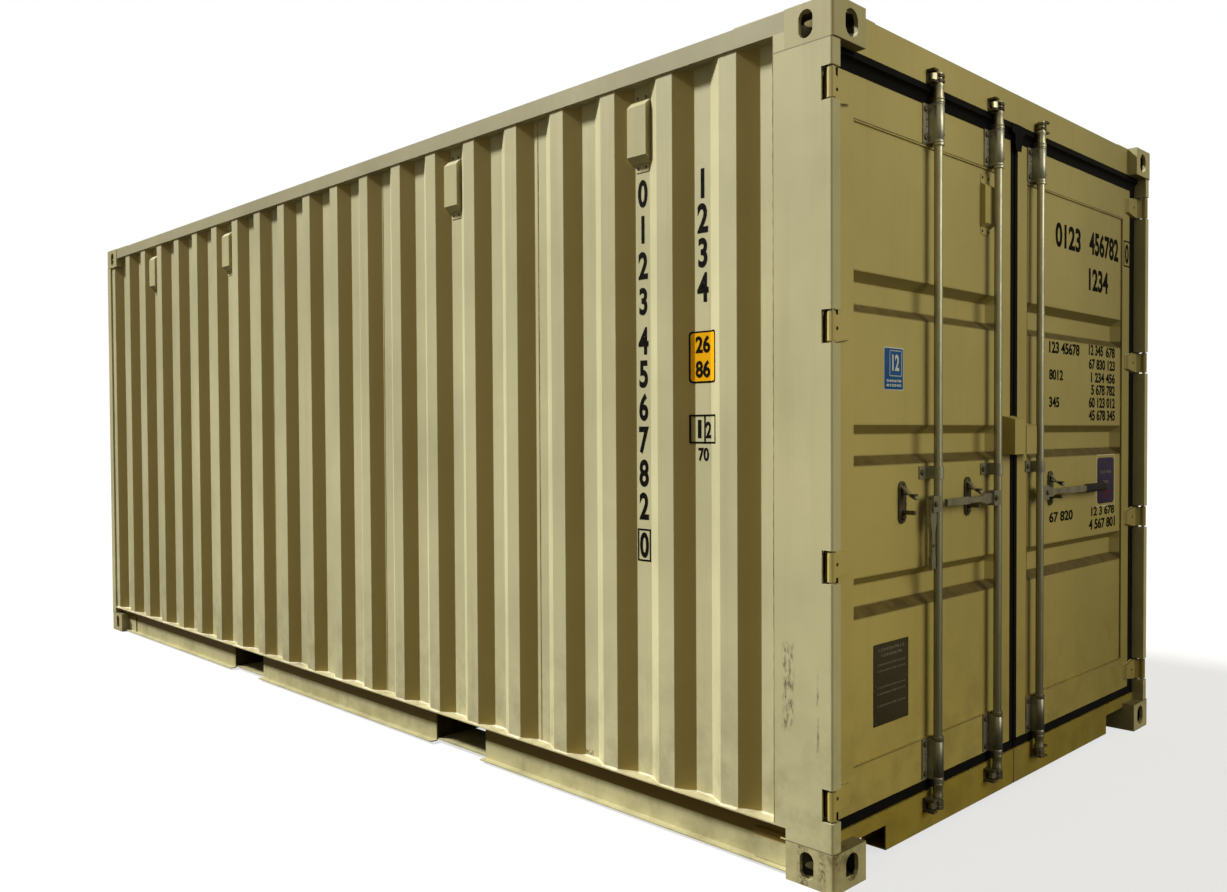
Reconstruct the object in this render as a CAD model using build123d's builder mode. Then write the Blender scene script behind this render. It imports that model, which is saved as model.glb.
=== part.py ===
from build123d import *
import os

os.makedirs("parts", exist_ok=True)

# Dry freight container, 20 ft long and 8 ft 6 in high. Millimetres.
# +X points out of the door end, +Z up, origin at the middle of the footprint.
length = 6058
width = 2438
height = 2591
half_l = length / 2
half_w = width / 2
flats = 12

# Corner castings and their holes
cast_l = 178
cast_w = 162
cast_h = 118
cast_thick = 28
cast_wall = 15
cast_round = 12
lock_set_l = 102.5
lock_set_w = 89.5
lock_pitch_l = length - 2 * lock_set_l
lock_pitch_w = width - 2 * lock_set_w
lock_hole_l = 124
lock_hole_w = 63.5
side_hole_w = 51
end_hole_w = 63.5
lash_hole_h = 82
lash_hole_z = 61
side_hole_set = 100
end_hole_set = 90
side_hole_x = half_l - side_hole_set
end_hole_y = half_w - end_hole_set
top_cast_z = height - cast_h

# Steel of the frame
plate = 6
post_web = 12
tube_wall = 4
rail_wall = 3
rail_steel = 4.5
frame_drop = 4

# Corner posts
post_set = 5
post_side = 215
post_lap = 40
channel_l = 63
post_box_l = 113
post_front = half_l - post_set
post_rear = post_front - post_side
post_in = half_w - post_lap
post_box_front = post_front - channel_l
post_box_rear = post_box_front - post_box_l
front_post_x = -half_l + post_set
front_post_l = 57
front_post_w = 120
wall_front = front_post_x + front_post_l

# Rails, header and sill
rail_tube = 60
rail_in = 2
rail_out = half_w - rail_in
top_rail_z = height - frame_drop - rail_tube
rail_z0 = 10
rail_top = 158
rail_flange = 48
rail_lip = 30
rail_web_out = half_w - rail_flange
rail_web_in = rail_web_out - rail_steel
rail_x0 = -half_l + cast_l
rail_x1 = half_l - cast_l
rail_plate_l = 142
rail_plate_top = 112
header_set = 40
header_l = 102
header_low = 132
header_face = half_l - header_set
header_back = header_face - header_l
header_z = height - header_low
header_top = height - frame_drop
sill_set = 50
sill_l = 92
sill_z0 = 20
sill_top = 148
sill_face = half_l - sill_set
sill_back = sill_face - sill_l
sill_notch_w = 185
sill_notch_z = 100
front_rail_x = front_post_x + frame_drop
roof_plate_l = 200
roof_plate_w = 110
roof_plate_t = 3

# Corrugated side walls
sheet = 2
wall_set = 8
wall_out = half_w - wall_set
wall_depth = 36
rib_face = 72
rib_slope = 68
rib_pitch = 278
rib_start = 153
first_rib = post_rear - rib_start
ribs = int((first_rib - wall_front) / rib_pitch)
recess_mid = rib_pitch - (rib_face + 2 * rib_slope)

# Side ventilators, counted in folds from each end
vent_top = 117
vent_h = 212
vent_half = 45
vent_base = 34
vent_out = 30
vent_bevel = 22
vent_first = first_rib - rib_face - rib_slope - recess_mid / 2

# Corrugated front wall and roof
front_set = 13
front_out = -half_l + front_set
front_depth = 45.6
front_face = 110
front_slope = 18
front_pitch = 250
front_in = half_w - front_post_w
front_ribs = int(front_in / front_pitch)
roof_set = 6
roof_top = height - roof_set
roof_depth = 20
roof_face = 91
roof_slope = 13.5
roof_pitch = 209
roof_start = 150
roof_x0 = front_rail_x + rail_tube
roof_ribs = int((header_back - roof_start - roof_x0) / roof_pitch)
roof_half = rail_out - rail_tube

# Floor and fork pockets
member_z0 = 22
member_top = 144
member_w = 45
member_steel = 4
member_pitch = 340
member_set = 107
member_first = header_back - member_set
members = int((member_first - wall_front - 200) / member_pitch) + 1
pocket_w = 360
pocket_mid = 1025
pocket_shift = 55
pocket_roof = 140
strap_l = 200
strap_t = 6
floor_t = 28
floor_gap = 1
floor_rows = 5
floor_side_gap = 0.5
floor_in = rail_web_in - floor_side_gap
floor_x1 = sill_back - 3
floor_x0 = wall_front + 12
floor_rail_w = 76

# Door leaves
leaf_set = 55
leaf_t = 50
leaf_side_gap = 58
leaf_mid = 25
leaf_low_gap = 33
leaf_high_gap = 39
leaf_face = half_l - leaf_set
leaf_back = leaf_face - leaf_t
leaf_side = post_in - leaf_side_gap
leaf_z0 = sill_top + leaf_low_gap
leaf_z1 = header_z - leaf_high_gap
stile = 80
stile_mid = 85
rail_low = 144
rail_high = 140
panel_set = 6
panel_depth = 36
panel_face = leaf_face - panel_set
panel_x0 = panel_face - panel_depth - 4 * panel_set
panel_z0 = leaf_z0 + rail_low
panel_z1 = leaf_z1 - rail_high
groove_half = 62
groove_taper = 37
groove_pitch = 469
groove_gap = 5
seal_gap = 5
seal_lip = 14
seal_mid = 4.5
seal_side = post_in - seal_gap
seal_low = sill_top + seal_gap
seal_high = header_z - seal_gap

# Hinges
pin_set = 19
pin_in = 15
pin_r = 7
barrel_r = 12.5
running = 0.08
hinge_end = 75
hinge_half = 42.5
slot_half = 48.5
slot_l = 39
lug_h = 20
blade_t = 12
blade_l = 132
blade_tip = 28
pin_x = half_l - pin_set
pin_y = half_w - pin_in
hinge_low = leaf_z0 + hinge_end
hinge_step = (leaf_z1 - hinge_end - hinge_low) / 3
hinge_z = [hinge_low + i * hinge_step for i in range(4)]

# Locking bars, cams and keepers
bar_set = 21
bar_x = half_l - bar_set
bar_r = 14.5
bar_y = (-603, -187, 153)
bar_side = (-1, -1, 1)
cam_set = 41
cam_z_top = header_z + cam_set
cam_z_low = sill_top - cam_set
cam_h = 20
cam_t = 14
cam_reach = 38
bar_end = 15
bar_z0 = cam_z_low - bar_end
bar_z1 = cam_z_top + bar_end
keeper_gap = 5.5
keeper_plate = 4
keeper_out = 12
ear_h = 7

# Bar guides
guide_r = 3.5
guide_foot = 5
guide_left = 47
guide_mid_left = 57
guide_right = 28
guide_end = 2
guide_l = 128
guide_low_end = 8
guide_low_l = 135
guide_mid_z = 81
guide_mid_l = 42

# Handles and their retainers
hub_z = 1106
hub_half = 27
ear_t = 7
ear_gap = 0.5
pivot_off = 38
pivot_r = 6
handle_t = 12
root_half = 18
root_l = 60
waist_half = 9
waist_from = 95
waist_to = 165
grip_half = 13
grip_end = 11
handle_len = (214, 326, 586)
hole_drop = 138
retainer_left = (-765, -340)
retainer_right = (325,)
retainer_h = 136
retainer_w = 40
retainer_rise = 10
peg_r = 7
peg_gap = 6
hook_w = 22
hook_t = 4
hook_rise = 25
hook_gap = 5.5
hook_drop = 10

# Lock box over the door gap, and the leaf's ventilator
lock_gap = 3
lock_reach = 88
lock_out = 51
lock_steel = 5
lock_rise = 152
lock_left_h = 142
lock_right_h = 118
lock_lean = 14
door_vent_set = 17
door_vent_w = 76
door_vent_top = 190
door_vent_h = 160
door_vent_out = 20
door_vent_bevel = 14


def block(x0, x1, y0, y1, z0, z1, mode=Mode.ADD):
    """Box between two corners, added to or cut from the part being built."""
    with Locations(((x0 + x1) / 2, (y0 + y1) / 2, (z0 + z1) / 2)):
        Box(abs(x1 - x0), abs(y1 - y0), abs(z1 - z0), mode=mode)


def rod(x, y, z0, z1, r, mode=Mode.ADD):
    """Upright round bar or hole from z0 to z1."""
    with Locations((x, y, (z0 + z1) / 2)):
        Cylinder(r, abs(z1 - z0), mode=mode)


def obround(size_x, size_y):
    """Hole with two round ends, each in flats so that what repeats keeps few faces."""
    end = min(size_x, size_y)
    for way in (-1, 1):
        with Locations((way * (size_x - end) / 2, way * (size_y - end) / 2)):
            RegularPolygon(end / 2, flats, major_radius=False, rotation=180 / flats)
    make_hull()


def cut_castings():
    """Clears the space that the eight corner castings take."""
    for sx in (-1, 1):
        for sy in (-1, 1):
            for z in (0, top_cast_z):
                block(sx * (half_l - cast_l), sx * half_l, sy * (half_w - cast_w), sy * half_w,
                      z, z + cast_h, mode=Mode.SUBTRACT)


def corner_casting(z0, lock_plate_low):
    """Hollow casting of the right-hand door corner, with its lock, side and end holes."""
    with BuildPart() as casting:
        block(half_l - cast_l, half_l, half_w - cast_w, half_w, z0, z0 + cast_h)
        fillet(casting.edges().filter_by(Axis.Z).sort_by(Axis.X)[-2:].sort_by(Axis.Y)[-1:], cast_round)
        low = z0 + (cast_thick if lock_plate_low else cast_wall)
        high = z0 + cast_h - (cast_wall if lock_plate_low else cast_thick)
        block(half_l - cast_l + cast_wall, half_l - cast_wall,
              half_w - cast_w + cast_wall, half_w - cast_wall, low, high, mode=Mode.SUBTRACT)
        lock_z = z0 - 1 if lock_plate_low else high - 1
        with BuildSketch(Plane.XY.offset(lock_z)):
            with Locations((lock_pitch_l / 2, lock_pitch_w / 2)):
                SlotOverall(lock_hole_l, lock_hole_w)
        extrude(amount=cast_thick + 2, mode=Mode.SUBTRACT)
        lash_z = z0 + (lash_hole_z if lock_plate_low else cast_h - lash_hole_z)
        with BuildSketch(Plane.XZ.offset(-half_w - 1)):
            with Locations((side_hole_x, lash_z)):
                obround(side_hole_w, lash_hole_h)
        extrude(amount=cast_wall + 2, mode=Mode.SUBTRACT)
        with BuildSketch(Plane.YZ.offset(half_l - cast_wall - 1)):
            with Locations((end_hole_y, lash_z)):
                obround(end_hole_w, lash_hole_h)
        extrude(amount=cast_wall + 2, mode=Mode.SUBTRACT)
    return casting.part


def fold_points(start, end, first, face, slope, pitch, count, low, high):
    """Outline of a folded sheet: (along, out) pairs from start down to end."""
    points = [(start, low)]
    for i in range(count + 1):
        left = first - i * pitch
        points.append((left + slope, low))
        points.append((left, high))
        points.append((left - face, high))
        points.append((left - face - slope, low))
    return [p for p in points if end + 1 < p[0] <= start]


def sheet_ring(points, thick):
    """Closed outline of a folded sheet, its inner skin set towards smaller out by the thickness."""
    inner = [(a, o - thick) for a, o in points]
    return points + inner[::-1]


with BuildPart() as top_corner_castings:
    add(corner_casting(top_cast_z, False))
    mirror(about=Plane.XZ)
    mirror(about=Plane.YZ)
top_corner_castings.part.label = "top_corner_castings"

bottom_casting = corner_casting(0, True)
with BuildPart() as bottom_door_castings:
    add(bottom_casting)
    mirror(about=Plane.XZ)
bottom_door_castings.part.label = "bottom_door_castings"

with BuildPart() as bottom_front_castings:
    add(bottom_door_castings.part.mirror(Plane.YZ))
bottom_front_castings.part.label = "bottom_front_castings"

with BuildPart() as door_corner_posts:
    with BuildSketch(Plane.XY.offset(cast_h)):
        with BuildLine():
            Polyline(
                (post_rear, half_w), (post_front, half_w), (post_front, post_in),
                (post_box_rear, post_in), (post_box_rear, half_w - plate), (post_rear + plate, half_w - plate),
                (post_rear + plate, rail_web_in), (post_rear, rail_web_in), close=True)
        make_face()
        with Locations(((post_box_rear + post_box_front) / 2, (post_in + half_w + post_web - plate) / 2)):
            Rectangle(post_box_l - 2 * post_web, post_lap - post_web - plate, mode=Mode.SUBTRACT)
        with Locations(((post_box_front + post_front - plate) / 2, (post_in + half_w) / 2)):
            Rectangle(channel_l - plate, post_lap - 2 * plate, mode=Mode.SUBTRACT)
    extrude(amount=top_rail_z - cast_h)
    fillet(door_corner_posts.edges().filter_by(Axis.Z).filter_by_position(Axis.X, post_front - 1, post_front + 1)
           .sort_by(Axis.Y)[-1:], 8)
    for z in hinge_z:
        low = z - slot_half
        high = z + slot_half
        block(post_front - slot_l, half_l, post_in - 1, half_w + 1, low, high, mode=Mode.SUBTRACT)
        block(post_box_front + 3, half_l, post_in - 1, half_w - pin_in - 4, low, high, mode=Mode.SUBTRACT)
    block(half_l - cast_l, half_l, half_w - cast_w, half_w + 1, top_cast_z, height, mode=Mode.SUBTRACT)
    block(post_rear - 1, half_l - cast_l, half_w - cast_w, half_w + 1, 0, rail_top, mode=Mode.SUBTRACT)
    mirror(about=Plane.XZ)
door_corner_posts.part.label = "door_corner_posts"

with BuildPart() as hinge_pins:
    for z in hinge_z:
        with BuildSketch(Plane.XY.offset(z - slot_half - lug_h)):
            with Locations((pin_x, pin_y)):
                RegularPolygon(pin_r, flats)
        extrude(amount=2 * (slot_half + lug_h))
        for side in (-1, 1):
            edge = z + side * slot_half
            block(post_front - slot_l, post_front - plate, post_in + plate, half_w - plate,
                  edge, edge + side * lug_h)
    mirror(about=Plane.XZ)
hinge_pins.part.label = "hinge_pins"

with BuildPart() as front_corner_posts:
    block(front_post_x, wall_front, half_w - front_post_w, half_w, cast_h, top_cast_z)
    block(front_post_x + plate, wall_front - plate, half_w - front_post_w + plate, half_w - plate,
          cast_h, top_cast_z, mode=Mode.SUBTRACT)
    block(wall_front, rail_x0, rail_web_in, rail_web_out, cast_h, rail_top)
    block(wall_front, rail_x0, rail_web_in, half_w, rail_top - rail_steel, rail_top)
    mirror(about=Plane.XZ)
front_corner_posts.part.label = "front_corner_posts"

with BuildPart() as top_side_rails:
    block(rail_x0, rail_x1, rail_out - rail_tube, rail_out, top_rail_z, top_rail_z + rail_tube)
    block(-half_l, half_l, rail_out - rail_tube + rail_wall, rail_out - rail_wall,
          top_rail_z + rail_wall, top_rail_z + rail_tube - rail_wall, mode=Mode.SUBTRACT)
    mirror(about=Plane.XZ)
top_side_rails.part.label = "top_side_rails"

pockets = [m + pocket_shift for m in (-pocket_mid, pocket_mid)]
with BuildPart() as bottom_side_rails:
    block(rail_x0, rail_x1, rail_web_in, half_w, rail_z0, rail_top)
    block(-half_l, half_l, rail_web_out, half_w + 1, rail_z0 + rail_steel, rail_top - rail_steel,
          mode=Mode.SUBTRACT)
    block(-half_l, half_l, rail_web_out + rail_lip, half_w + 1, 0, rail_z0 + 2 * rail_steel, mode=Mode.SUBTRACT)
    for mid in pockets:
        block(mid - pocket_w / 2, mid + pocket_w / 2, rail_web_in - 1, half_w + 1,
              0, rail_top - rail_steel, mode=Mode.SUBTRACT)
    for end in (rail_x0, rail_x1 - rail_plate_l):
        block(end, end + rail_plate_l, rail_web_out, rail_web_out + plate, rail_z0 + rail_steel, rail_plate_top)
    mirror(about=Plane.XZ)
bottom_side_rails.part.label = "bottom_side_rails"

with BuildPart() as door_header:
    block(header_back, header_face, -post_in, post_in, header_z, header_top)
    block(header_back + tube_wall, header_face - tube_wall, -post_in - 1, post_in + 1,
          header_z + tube_wall, header_top - tube_wall, mode=Mode.SUBTRACT)
    cut_castings()
door_header.part.label = "door_header"

with BuildPart() as door_sill:
    block(sill_back, sill_face, -post_in, post_in, sill_z0, sill_top)
    block(sill_back + tube_wall, sill_face - tube_wall, -post_in - 1, post_in + 1,
          sill_z0 + tube_wall, sill_top - tube_wall, mode=Mode.SUBTRACT)
    for side in (-1, 1):
        block(sill_back - 1, sill_face + 1, side * (half_w - cast_w - sill_notch_w), side * half_w,
              0, sill_notch_z, mode=Mode.SUBTRACT)
    cut_castings()
door_sill.part.label = "door_sill"

with BuildPart() as front_rails:
    block(front_rail_x, front_rail_x + rail_tube, -half_w + cast_w, half_w - cast_w,
          top_rail_z, top_rail_z + rail_tube)
    block(front_rail_x + rail_wall, front_rail_x + rail_tube - rail_wall, -half_w, half_w,
          top_rail_z + rail_wall, top_rail_z + rail_tube - rail_wall, mode=Mode.SUBTRACT)
    block(front_rail_x, front_rail_x + rail_tube, -front_in, front_in, sill_z0, rail_top)
    block(front_rail_x + tube_wall, front_rail_x + rail_tube - tube_wall, -half_w, half_w,
          sill_z0 + tube_wall, rail_top - tube_wall, mode=Mode.SUBTRACT)
    cut_castings()
front_rails.part.label = "front_rails"

wall_line = fold_points(post_rear, wall_front, first_rib, rib_face, rib_slope, rib_pitch, ribs,
                        wall_out - wall_depth, wall_out)
wall_line.append((wall_front, wall_out))
with BuildPart() as right_side_wall:
    with BuildSketch(Plane.XY.offset(rail_top)):
        with BuildLine():
            Polyline(*sheet_ring(wall_line, sheet), close=True)
        make_face()
    extrude(amount=top_rail_z - rail_top)
    cut_castings()
right_side_wall.part.label = "right_side_wall"

with BuildPart() as left_side_wall:
    add(right_side_wall.part.mirror(Plane.XZ))
left_side_wall.part.label = "left_side_wall"

front_first = front_ribs * front_pitch + front_face / 2
front_line = fold_points(front_in, -front_in, front_first, front_face, front_slope,
                         front_pitch, 2 * front_ribs, front_out + front_depth, front_out)
front_line.append((-front_in, front_out + front_depth))
front_skin = [(o, a) for a, o in front_line] + [(o + sheet, a) for a, o in front_line[::-1]]
with BuildPart() as front_wall:
    with BuildSketch(Plane.XY.offset(rail_top)):
        with BuildLine():
            Polyline(*front_skin, close=True)
        make_face()
    extrude(amount=top_rail_z - rail_top)
    cut_castings()
front_wall.part.label = "front_wall"

roof_line = fold_points(header_back, roof_x0, header_back - roof_start, roof_face, roof_slope, roof_pitch,
                        roof_ribs, roof_top - roof_depth, roof_top)
roof_line.append((roof_x0, roof_top - roof_depth))
with BuildPart() as roof:
    with BuildSketch(Plane.XZ.offset(-roof_half)):
        with BuildLine():
            Polyline(*sheet_ring(roof_line, sheet), close=True)
        make_face()
    extrude(amount=2 * roof_half)
    cut_castings()
roof.part.label = "roof"

with BuildPart() as roof_corner_plates:
    block(half_l - cast_l - roof_plate_l, header_face, half_w - cast_w - roof_plate_w, rail_out,
          header_top, header_top + roof_plate_t)
    cut_castings()
    mirror(about=Plane.XZ)
    mirror(about=Plane.YZ)
roof_corner_plates.part.label = "roof_corner_plates"


def clear_of_pockets(x):
    """True where a cross member whose web is at x stays clear of both fork pocket frames."""
    reach = pocket_w / 2 + 2 * member_w
    return all(x > mid + reach or x + member_w < mid - reach for mid in pockets)


member_x = [member_first - i * member_pitch for i in range(members)]
with BuildPart() as floor_cross_members:
    for x in filter(clear_of_pockets, member_x):
        block(x, x + member_w, -rail_web_in, rail_web_in, member_z0, member_top)
        block(x + member_steel, x + member_w + 1, -rail_web_in - 1, rail_web_in + 1,
              member_z0 + member_steel, member_top - member_steel, mode=Mode.SUBTRACT)
floor_cross_members.part.label = "floor_cross_members"

with BuildPart() as fork_pocket_frames:
    for mid in pockets:
        reach = pocket_w / 2 + member_w
        block(mid - reach, mid + reach, -rail_web_in, rail_web_in, member_z0, member_top)
        block(mid - pocket_w / 2, mid + pocket_w / 2, -half_w, half_w, 0, pocket_roof, mode=Mode.SUBTRACT)
        for way in (-1, 1):
            block(mid + way * (pocket_w / 2 + member_steel), mid + way * (reach + 1),
                  -half_w, half_w, member_z0 + member_steel, member_top - member_steel, mode=Mode.SUBTRACT)
fork_pocket_frames.part.label = "fork_pocket_frames"

with BuildPart() as fork_pocket_straps:
    for mid in pockets:
        reach = pocket_w / 2 + member_w
        block(mid - reach, mid + reach, rail_web_in - strap_l, rail_web_in, member_z0 - strap_t, member_z0)
    mirror(about=Plane.XZ)
fork_pocket_straps.part.label = "fork_pocket_straps"

board_l = (floor_x1 - floor_x0) / floor_rows
with BuildPart() as floor_boards:
    for i in range(floor_rows):
        block(floor_x0 + i * board_l + floor_gap, floor_x0 + (i + 1) * board_l - floor_gap,
              floor_rail_w / 2 + 2 * floor_gap, floor_in, member_top, member_top + floor_t)
    mirror(about=Plane.XZ)
floor_boards.part.label = "floor_boards"

with BuildPart() as floor_centre_rail:
    block(floor_x0, floor_x1, -floor_rail_w / 2, floor_rail_w / 2, member_top, member_top + floor_t)
    block(floor_x0 - 1, floor_x1 + 1, -floor_rail_w / 2 + member_steel, floor_rail_w / 2 - member_steel,
          member_top - 1, member_top + floor_t - member_steel, mode=Mode.SUBTRACT)
floor_centre_rail.part.label = "floor_centre_rail"

vent_back = wall_out - wall_depth
with BuildPart() as vent_cover:
    with BuildSketch(Plane.XY.offset(height - vent_top - vent_h)):
        with BuildLine():
            Polyline((vent_base, vent_back), (vent_half, vent_back + plate), (vent_half, vent_back + vent_out),
                     (-vent_half, vent_back + vent_out), (-vent_half, vent_back + plate),
                     (-vent_base, vent_back), close=True)
        make_face()
    extrude(amount=vent_h)
    chamfer(vent_cover.edges().filter_by(Axis.X).group_by(Axis.Y)[-1], vent_bevel)
recess_x = [vent_first - rib_pitch * k for k in (1, 5, ribs - 7, ribs - 3)]
with BuildPart() as side_ventilators:
    with Locations(*[(x, 0, 0) for x in recess_x]):
        add(vent_cover.part)
    mirror(about=Plane.XZ)
side_ventilators.part.label = "side_ventilators"


def keepers(cam_z, base_x):
    """Cam keepers: a small plate with an ear above and one below each cam nose."""
    with BuildPart() as group:
        for y, side in zip(bar_y, bar_side):
            near = y + side * (bar_r + keeper_gap)
            far = y + side * (cam_reach + keeper_gap + keeper_plate)
            for way in (-1, 1):
                edge = cam_z + way * (cam_h / 2 + keeper_gap)
                block(base_x, bar_x + keeper_out, near, far, edge, edge + way * ear_h)
            block(base_x, base_x + keeper_plate, near, far,
                  cam_z - cam_h / 2 - keeper_gap, cam_z + cam_h / 2 + keeper_gap)
    return group


top_cam_keepers = keepers(cam_z_top, header_face)
top_cam_keepers.part.label = "top_cam_keepers"
bottom_cam_keepers = keepers(cam_z_low, sill_face)
bottom_cam_keepers.part.label = "bottom_cam_keepers"


def leaf_frame(side):
    """Welded tube frame of one door leaf; side is -1 for the left one."""
    with BuildPart() as frame:
        block(leaf_back, leaf_face, side * leaf_mid, side * leaf_side, leaf_z0, leaf_z1)
        block(leaf_back - 1, leaf_face + 1, side * (leaf_mid + stile_mid), side * (leaf_side - stile),
              panel_z0, panel_z1, mode=Mode.SUBTRACT)
    return frame


def leaf_panel(side):
    """Pressed sheet of one leaf with three grooves across, each with sloped sides and ends."""
    y0 = side * (leaf_mid + stile_mid)
    y1 = side * (leaf_side - stile)
    groove_mid = (panel_z0 + panel_z1) / 2
    front = Plane(origin=(panel_face, 0, 0), x_dir=(0, 1, 0), z_dir=(-1, 0, 0))
    with BuildPart() as form:
        block(panel_x0, panel_face, y0, y1, panel_z0, panel_z1)
        for row in (-1, 0, 1):
            with BuildSketch(front):
                with Locations(front.to_local_coords(Vector(panel_face, (y0 + y1) / 2,
                                                            groove_mid + row * groove_pitch))):
                    Rectangle(abs(y1 - y0) - 2 * groove_gap, 2 * groove_half)
            extrude(amount=panel_depth, taper=groove_taper, mode=Mode.SUBTRACT)
    with BuildPart() as skin:
        add(form.part)
        add(form.part.moved(Location((-sheet, 0, 0))), mode=Mode.SUBTRACT)
    return skin


def leaf_gasket(side):
    """Rubber seal round one leaf: a deep body with a wide lip in front."""
    lip_back = leaf_face - seal_lip
    with BuildPart() as seal:
        block(lip_back, leaf_face, side * seal_mid, side * seal_side, seal_low, seal_high)
        block(leaf_back + plate, lip_back, side * (seal_mid + 3), side * (seal_side - 8),
              seal_low + plate, seal_high - plate)
        block(leaf_back, leaf_face + 1, side * leaf_mid, side * leaf_side, leaf_z0, leaf_z1, mode=Mode.SUBTRACT)
    return seal


def hinge_blades(side):
    """Four forged hinge blades, each an eye on the pin and a tapered blade welded on the leaf."""
    blade_face = leaf_face + blade_t
    tip_y = side * (pin_y - blade_l - 1)
    root_y = side * (pin_y - blade_l / 3)
    with BuildPart() as blades:
        for z in hinge_z:
            with BuildSketch(Plane.XY.offset(z - hinge_half)):
                with BuildLine():
                    Polyline(
                        (pin_x - 6, side * (pin_y - 11)), (blade_face, side * (pin_y - 2 * blade_t)),
                        (blade_face, side * (pin_y - blade_l + blade_t)), (leaf_face, side * (pin_y - blade_l)),
                        (leaf_face, side * (pin_y - 16)), (pin_x - 11, side * (pin_y - 1)), close=True)
                make_face()
                with Locations((pin_x, side * pin_y)):
                    RegularPolygon(barrel_r, flats)
                    RegularPolygon(pin_r + running, flats, major_radius=False, mode=Mode.SUBTRACT)
            extrude(amount=2 * hinge_half)
            for way in (-1, 1):
                with BuildSketch(Plane.YZ.offset(leaf_face - 1)):
                    with BuildLine():
                        Polyline((root_y, z + way * hinge_half), (tip_y, z + way * blade_tip),
                                 (tip_y, z + way * (hinge_half + 5)), (root_y, z + way * (hinge_half + 5)),
                                 close=True)
                    make_face()
                extrude(amount=blade_t + 2, mode=Mode.SUBTRACT)
    return blades


def bar_guides(bars, mid_foot):
    """Pressed straps round each bar, flanged to the leaf: long at both ends, short above the handle."""
    r_in = bar_r + running
    r_out = bar_r + guide_r
    straps = (
        (leaf_face, guide_left, leaf_z1 - guide_end - guide_l, guide_l),
        (leaf_face, guide_left, leaf_z0 + guide_low_end, guide_low_l),
        (mid_foot, guide_mid_left, hub_z + guide_mid_z, guide_mid_l))
    with BuildPart() as guides:
        for y in bars:
            for foot, left, z0, tall in straps:
                with BuildSketch(Plane.XY.offset(z0)):
                    with Locations((bar_x, y)):
                        RegularPolygon(r_out, flats, major_radius=False, rotation=180 / flats)
                    with Locations(((foot + bar_x) / 2, y)):
                        Rectangle(bar_x - foot, 2 * r_out)
                    with Locations((foot + guide_foot / 2, y + (guide_right - left) / 2)):
                        Rectangle(guide_foot, guide_right + left)
                    with Locations((bar_x, y)):
                        RegularPolygon(r_in, flats, major_radius=False, rotation=180 / flats, mode=Mode.SUBTRACT)
                    with Locations(((foot + bar_x) / 2, y)):
                        Rectangle(bar_x - foot, 2 * r_in, mode=Mode.SUBTRACT)
                extrude(amount=tall)
    return guides


def retainers(plates):
    """Handle retainers: an oval plate, a peg under the handle and a hook that reaches out over it."""
    peg_z = hub_z - waist_half - peg_gap - peg_r
    low = hub_z + waist_half + hook_rise
    tip = bar_x + handle_t / 2 + hook_gap
    with BuildPart() as group:
        for y in plates:
            with BuildSketch(Plane.YZ.offset(panel_face)):
                with Locations((y, hub_z + retainer_rise)):
                    obround(retainer_w, retainer_h)
            extrude(amount=plate)
            with BuildSketch(Plane.YZ.offset(panel_face)):
                with Locations((y, peg_z)):
                    RegularPolygon(peg_r, flats)
            extrude(amount=tip - panel_face)
            with BuildSketch(Plane.XZ.offset(-y - hook_w / 2)):
                with BuildLine():
                    Polyline((panel_face, low + 2 * hook_t), (panel_face + plate + hook_t, low), (tip, low),
                             (tip, low - hook_drop), (tip + hook_t, low - hook_drop - hook_t),
                             (tip + hook_t, low + hook_t), (panel_face + plate + 2 * hook_t, low + hook_t),
                             (panel_face, low + 5 * hook_t), close=True)
                make_face()
            extrude(amount=hook_w)
    return group


def lock_box(side, tall):
    """Half of the lock box over the door gap, open below and towards the other half."""
    z0 = hub_z + lock_rise
    front = leaf_face + lock_out
    top = z0 + tall
    hood = [(leaf_face, z0), (front, z0), (front, top - lock_lean), (leaf_face, top)]
    inner = [(leaf_face + lock_steel, z0 - 1), (front - lock_steel, z0 - 1),
             (front - lock_steel, top - lock_lean - lock_steel), (leaf_face + lock_steel, top - 2 * lock_steel)]
    low_y = min(side * lock_gap, side * lock_reach)
    with BuildPart() as box:
        with BuildSketch(Plane.XZ.offset(-low_y)):
            with BuildLine():
                Polyline(*hood, close=True)
            make_face()
        extrude(amount=lock_gap - lock_reach)
        with BuildSketch(Plane.XZ.offset(-low_y + side * lock_steel)):
            with BuildLine():
                Polyline(*inner, close=True)
            make_face()
        extrude(amount=lock_gap - lock_reach, mode=Mode.SUBTRACT)
    return box


def locking_bar(y, side):
    """Bar with a cam nose at each end and a hub with two ears for the handle."""
    with BuildPart() as bar:
        rod(bar_x, y, bar_z0, bar_z1, bar_r)
        for cam_z in (cam_z_top, cam_z_low):
            with BuildSketch(Plane.XY.offset(cam_z - cam_h / 2)):
                with BuildLine():
                    Polyline((bar_x - cam_t / 2, y), (bar_x + cam_t / 2, y),
                             (bar_x + cam_t / 2, y + side * (cam_reach - cam_t)),
                             (bar_x, y + side * cam_reach), (bar_x - cam_t / 2, y + side * cam_reach), close=True)
                make_face()
            extrude(amount=cam_h)
        for way in (-1, 1):
            inner = bar_x + way * (handle_t / 2 + ear_gap)
            block(inner, inner + way * ear_t, y + side * ear_t / 2, y + side * (pivot_off + 2 * pivot_r),
                  hub_z - hub_half, hub_z + hub_half)
        with Locations((bar_x, y + side * pivot_off, hub_z)):
            Cylinder(pivot_r, handle_t + 2 * ear_gap + ear_t, rotation=(0, 90, 0))
    return bar


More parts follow.
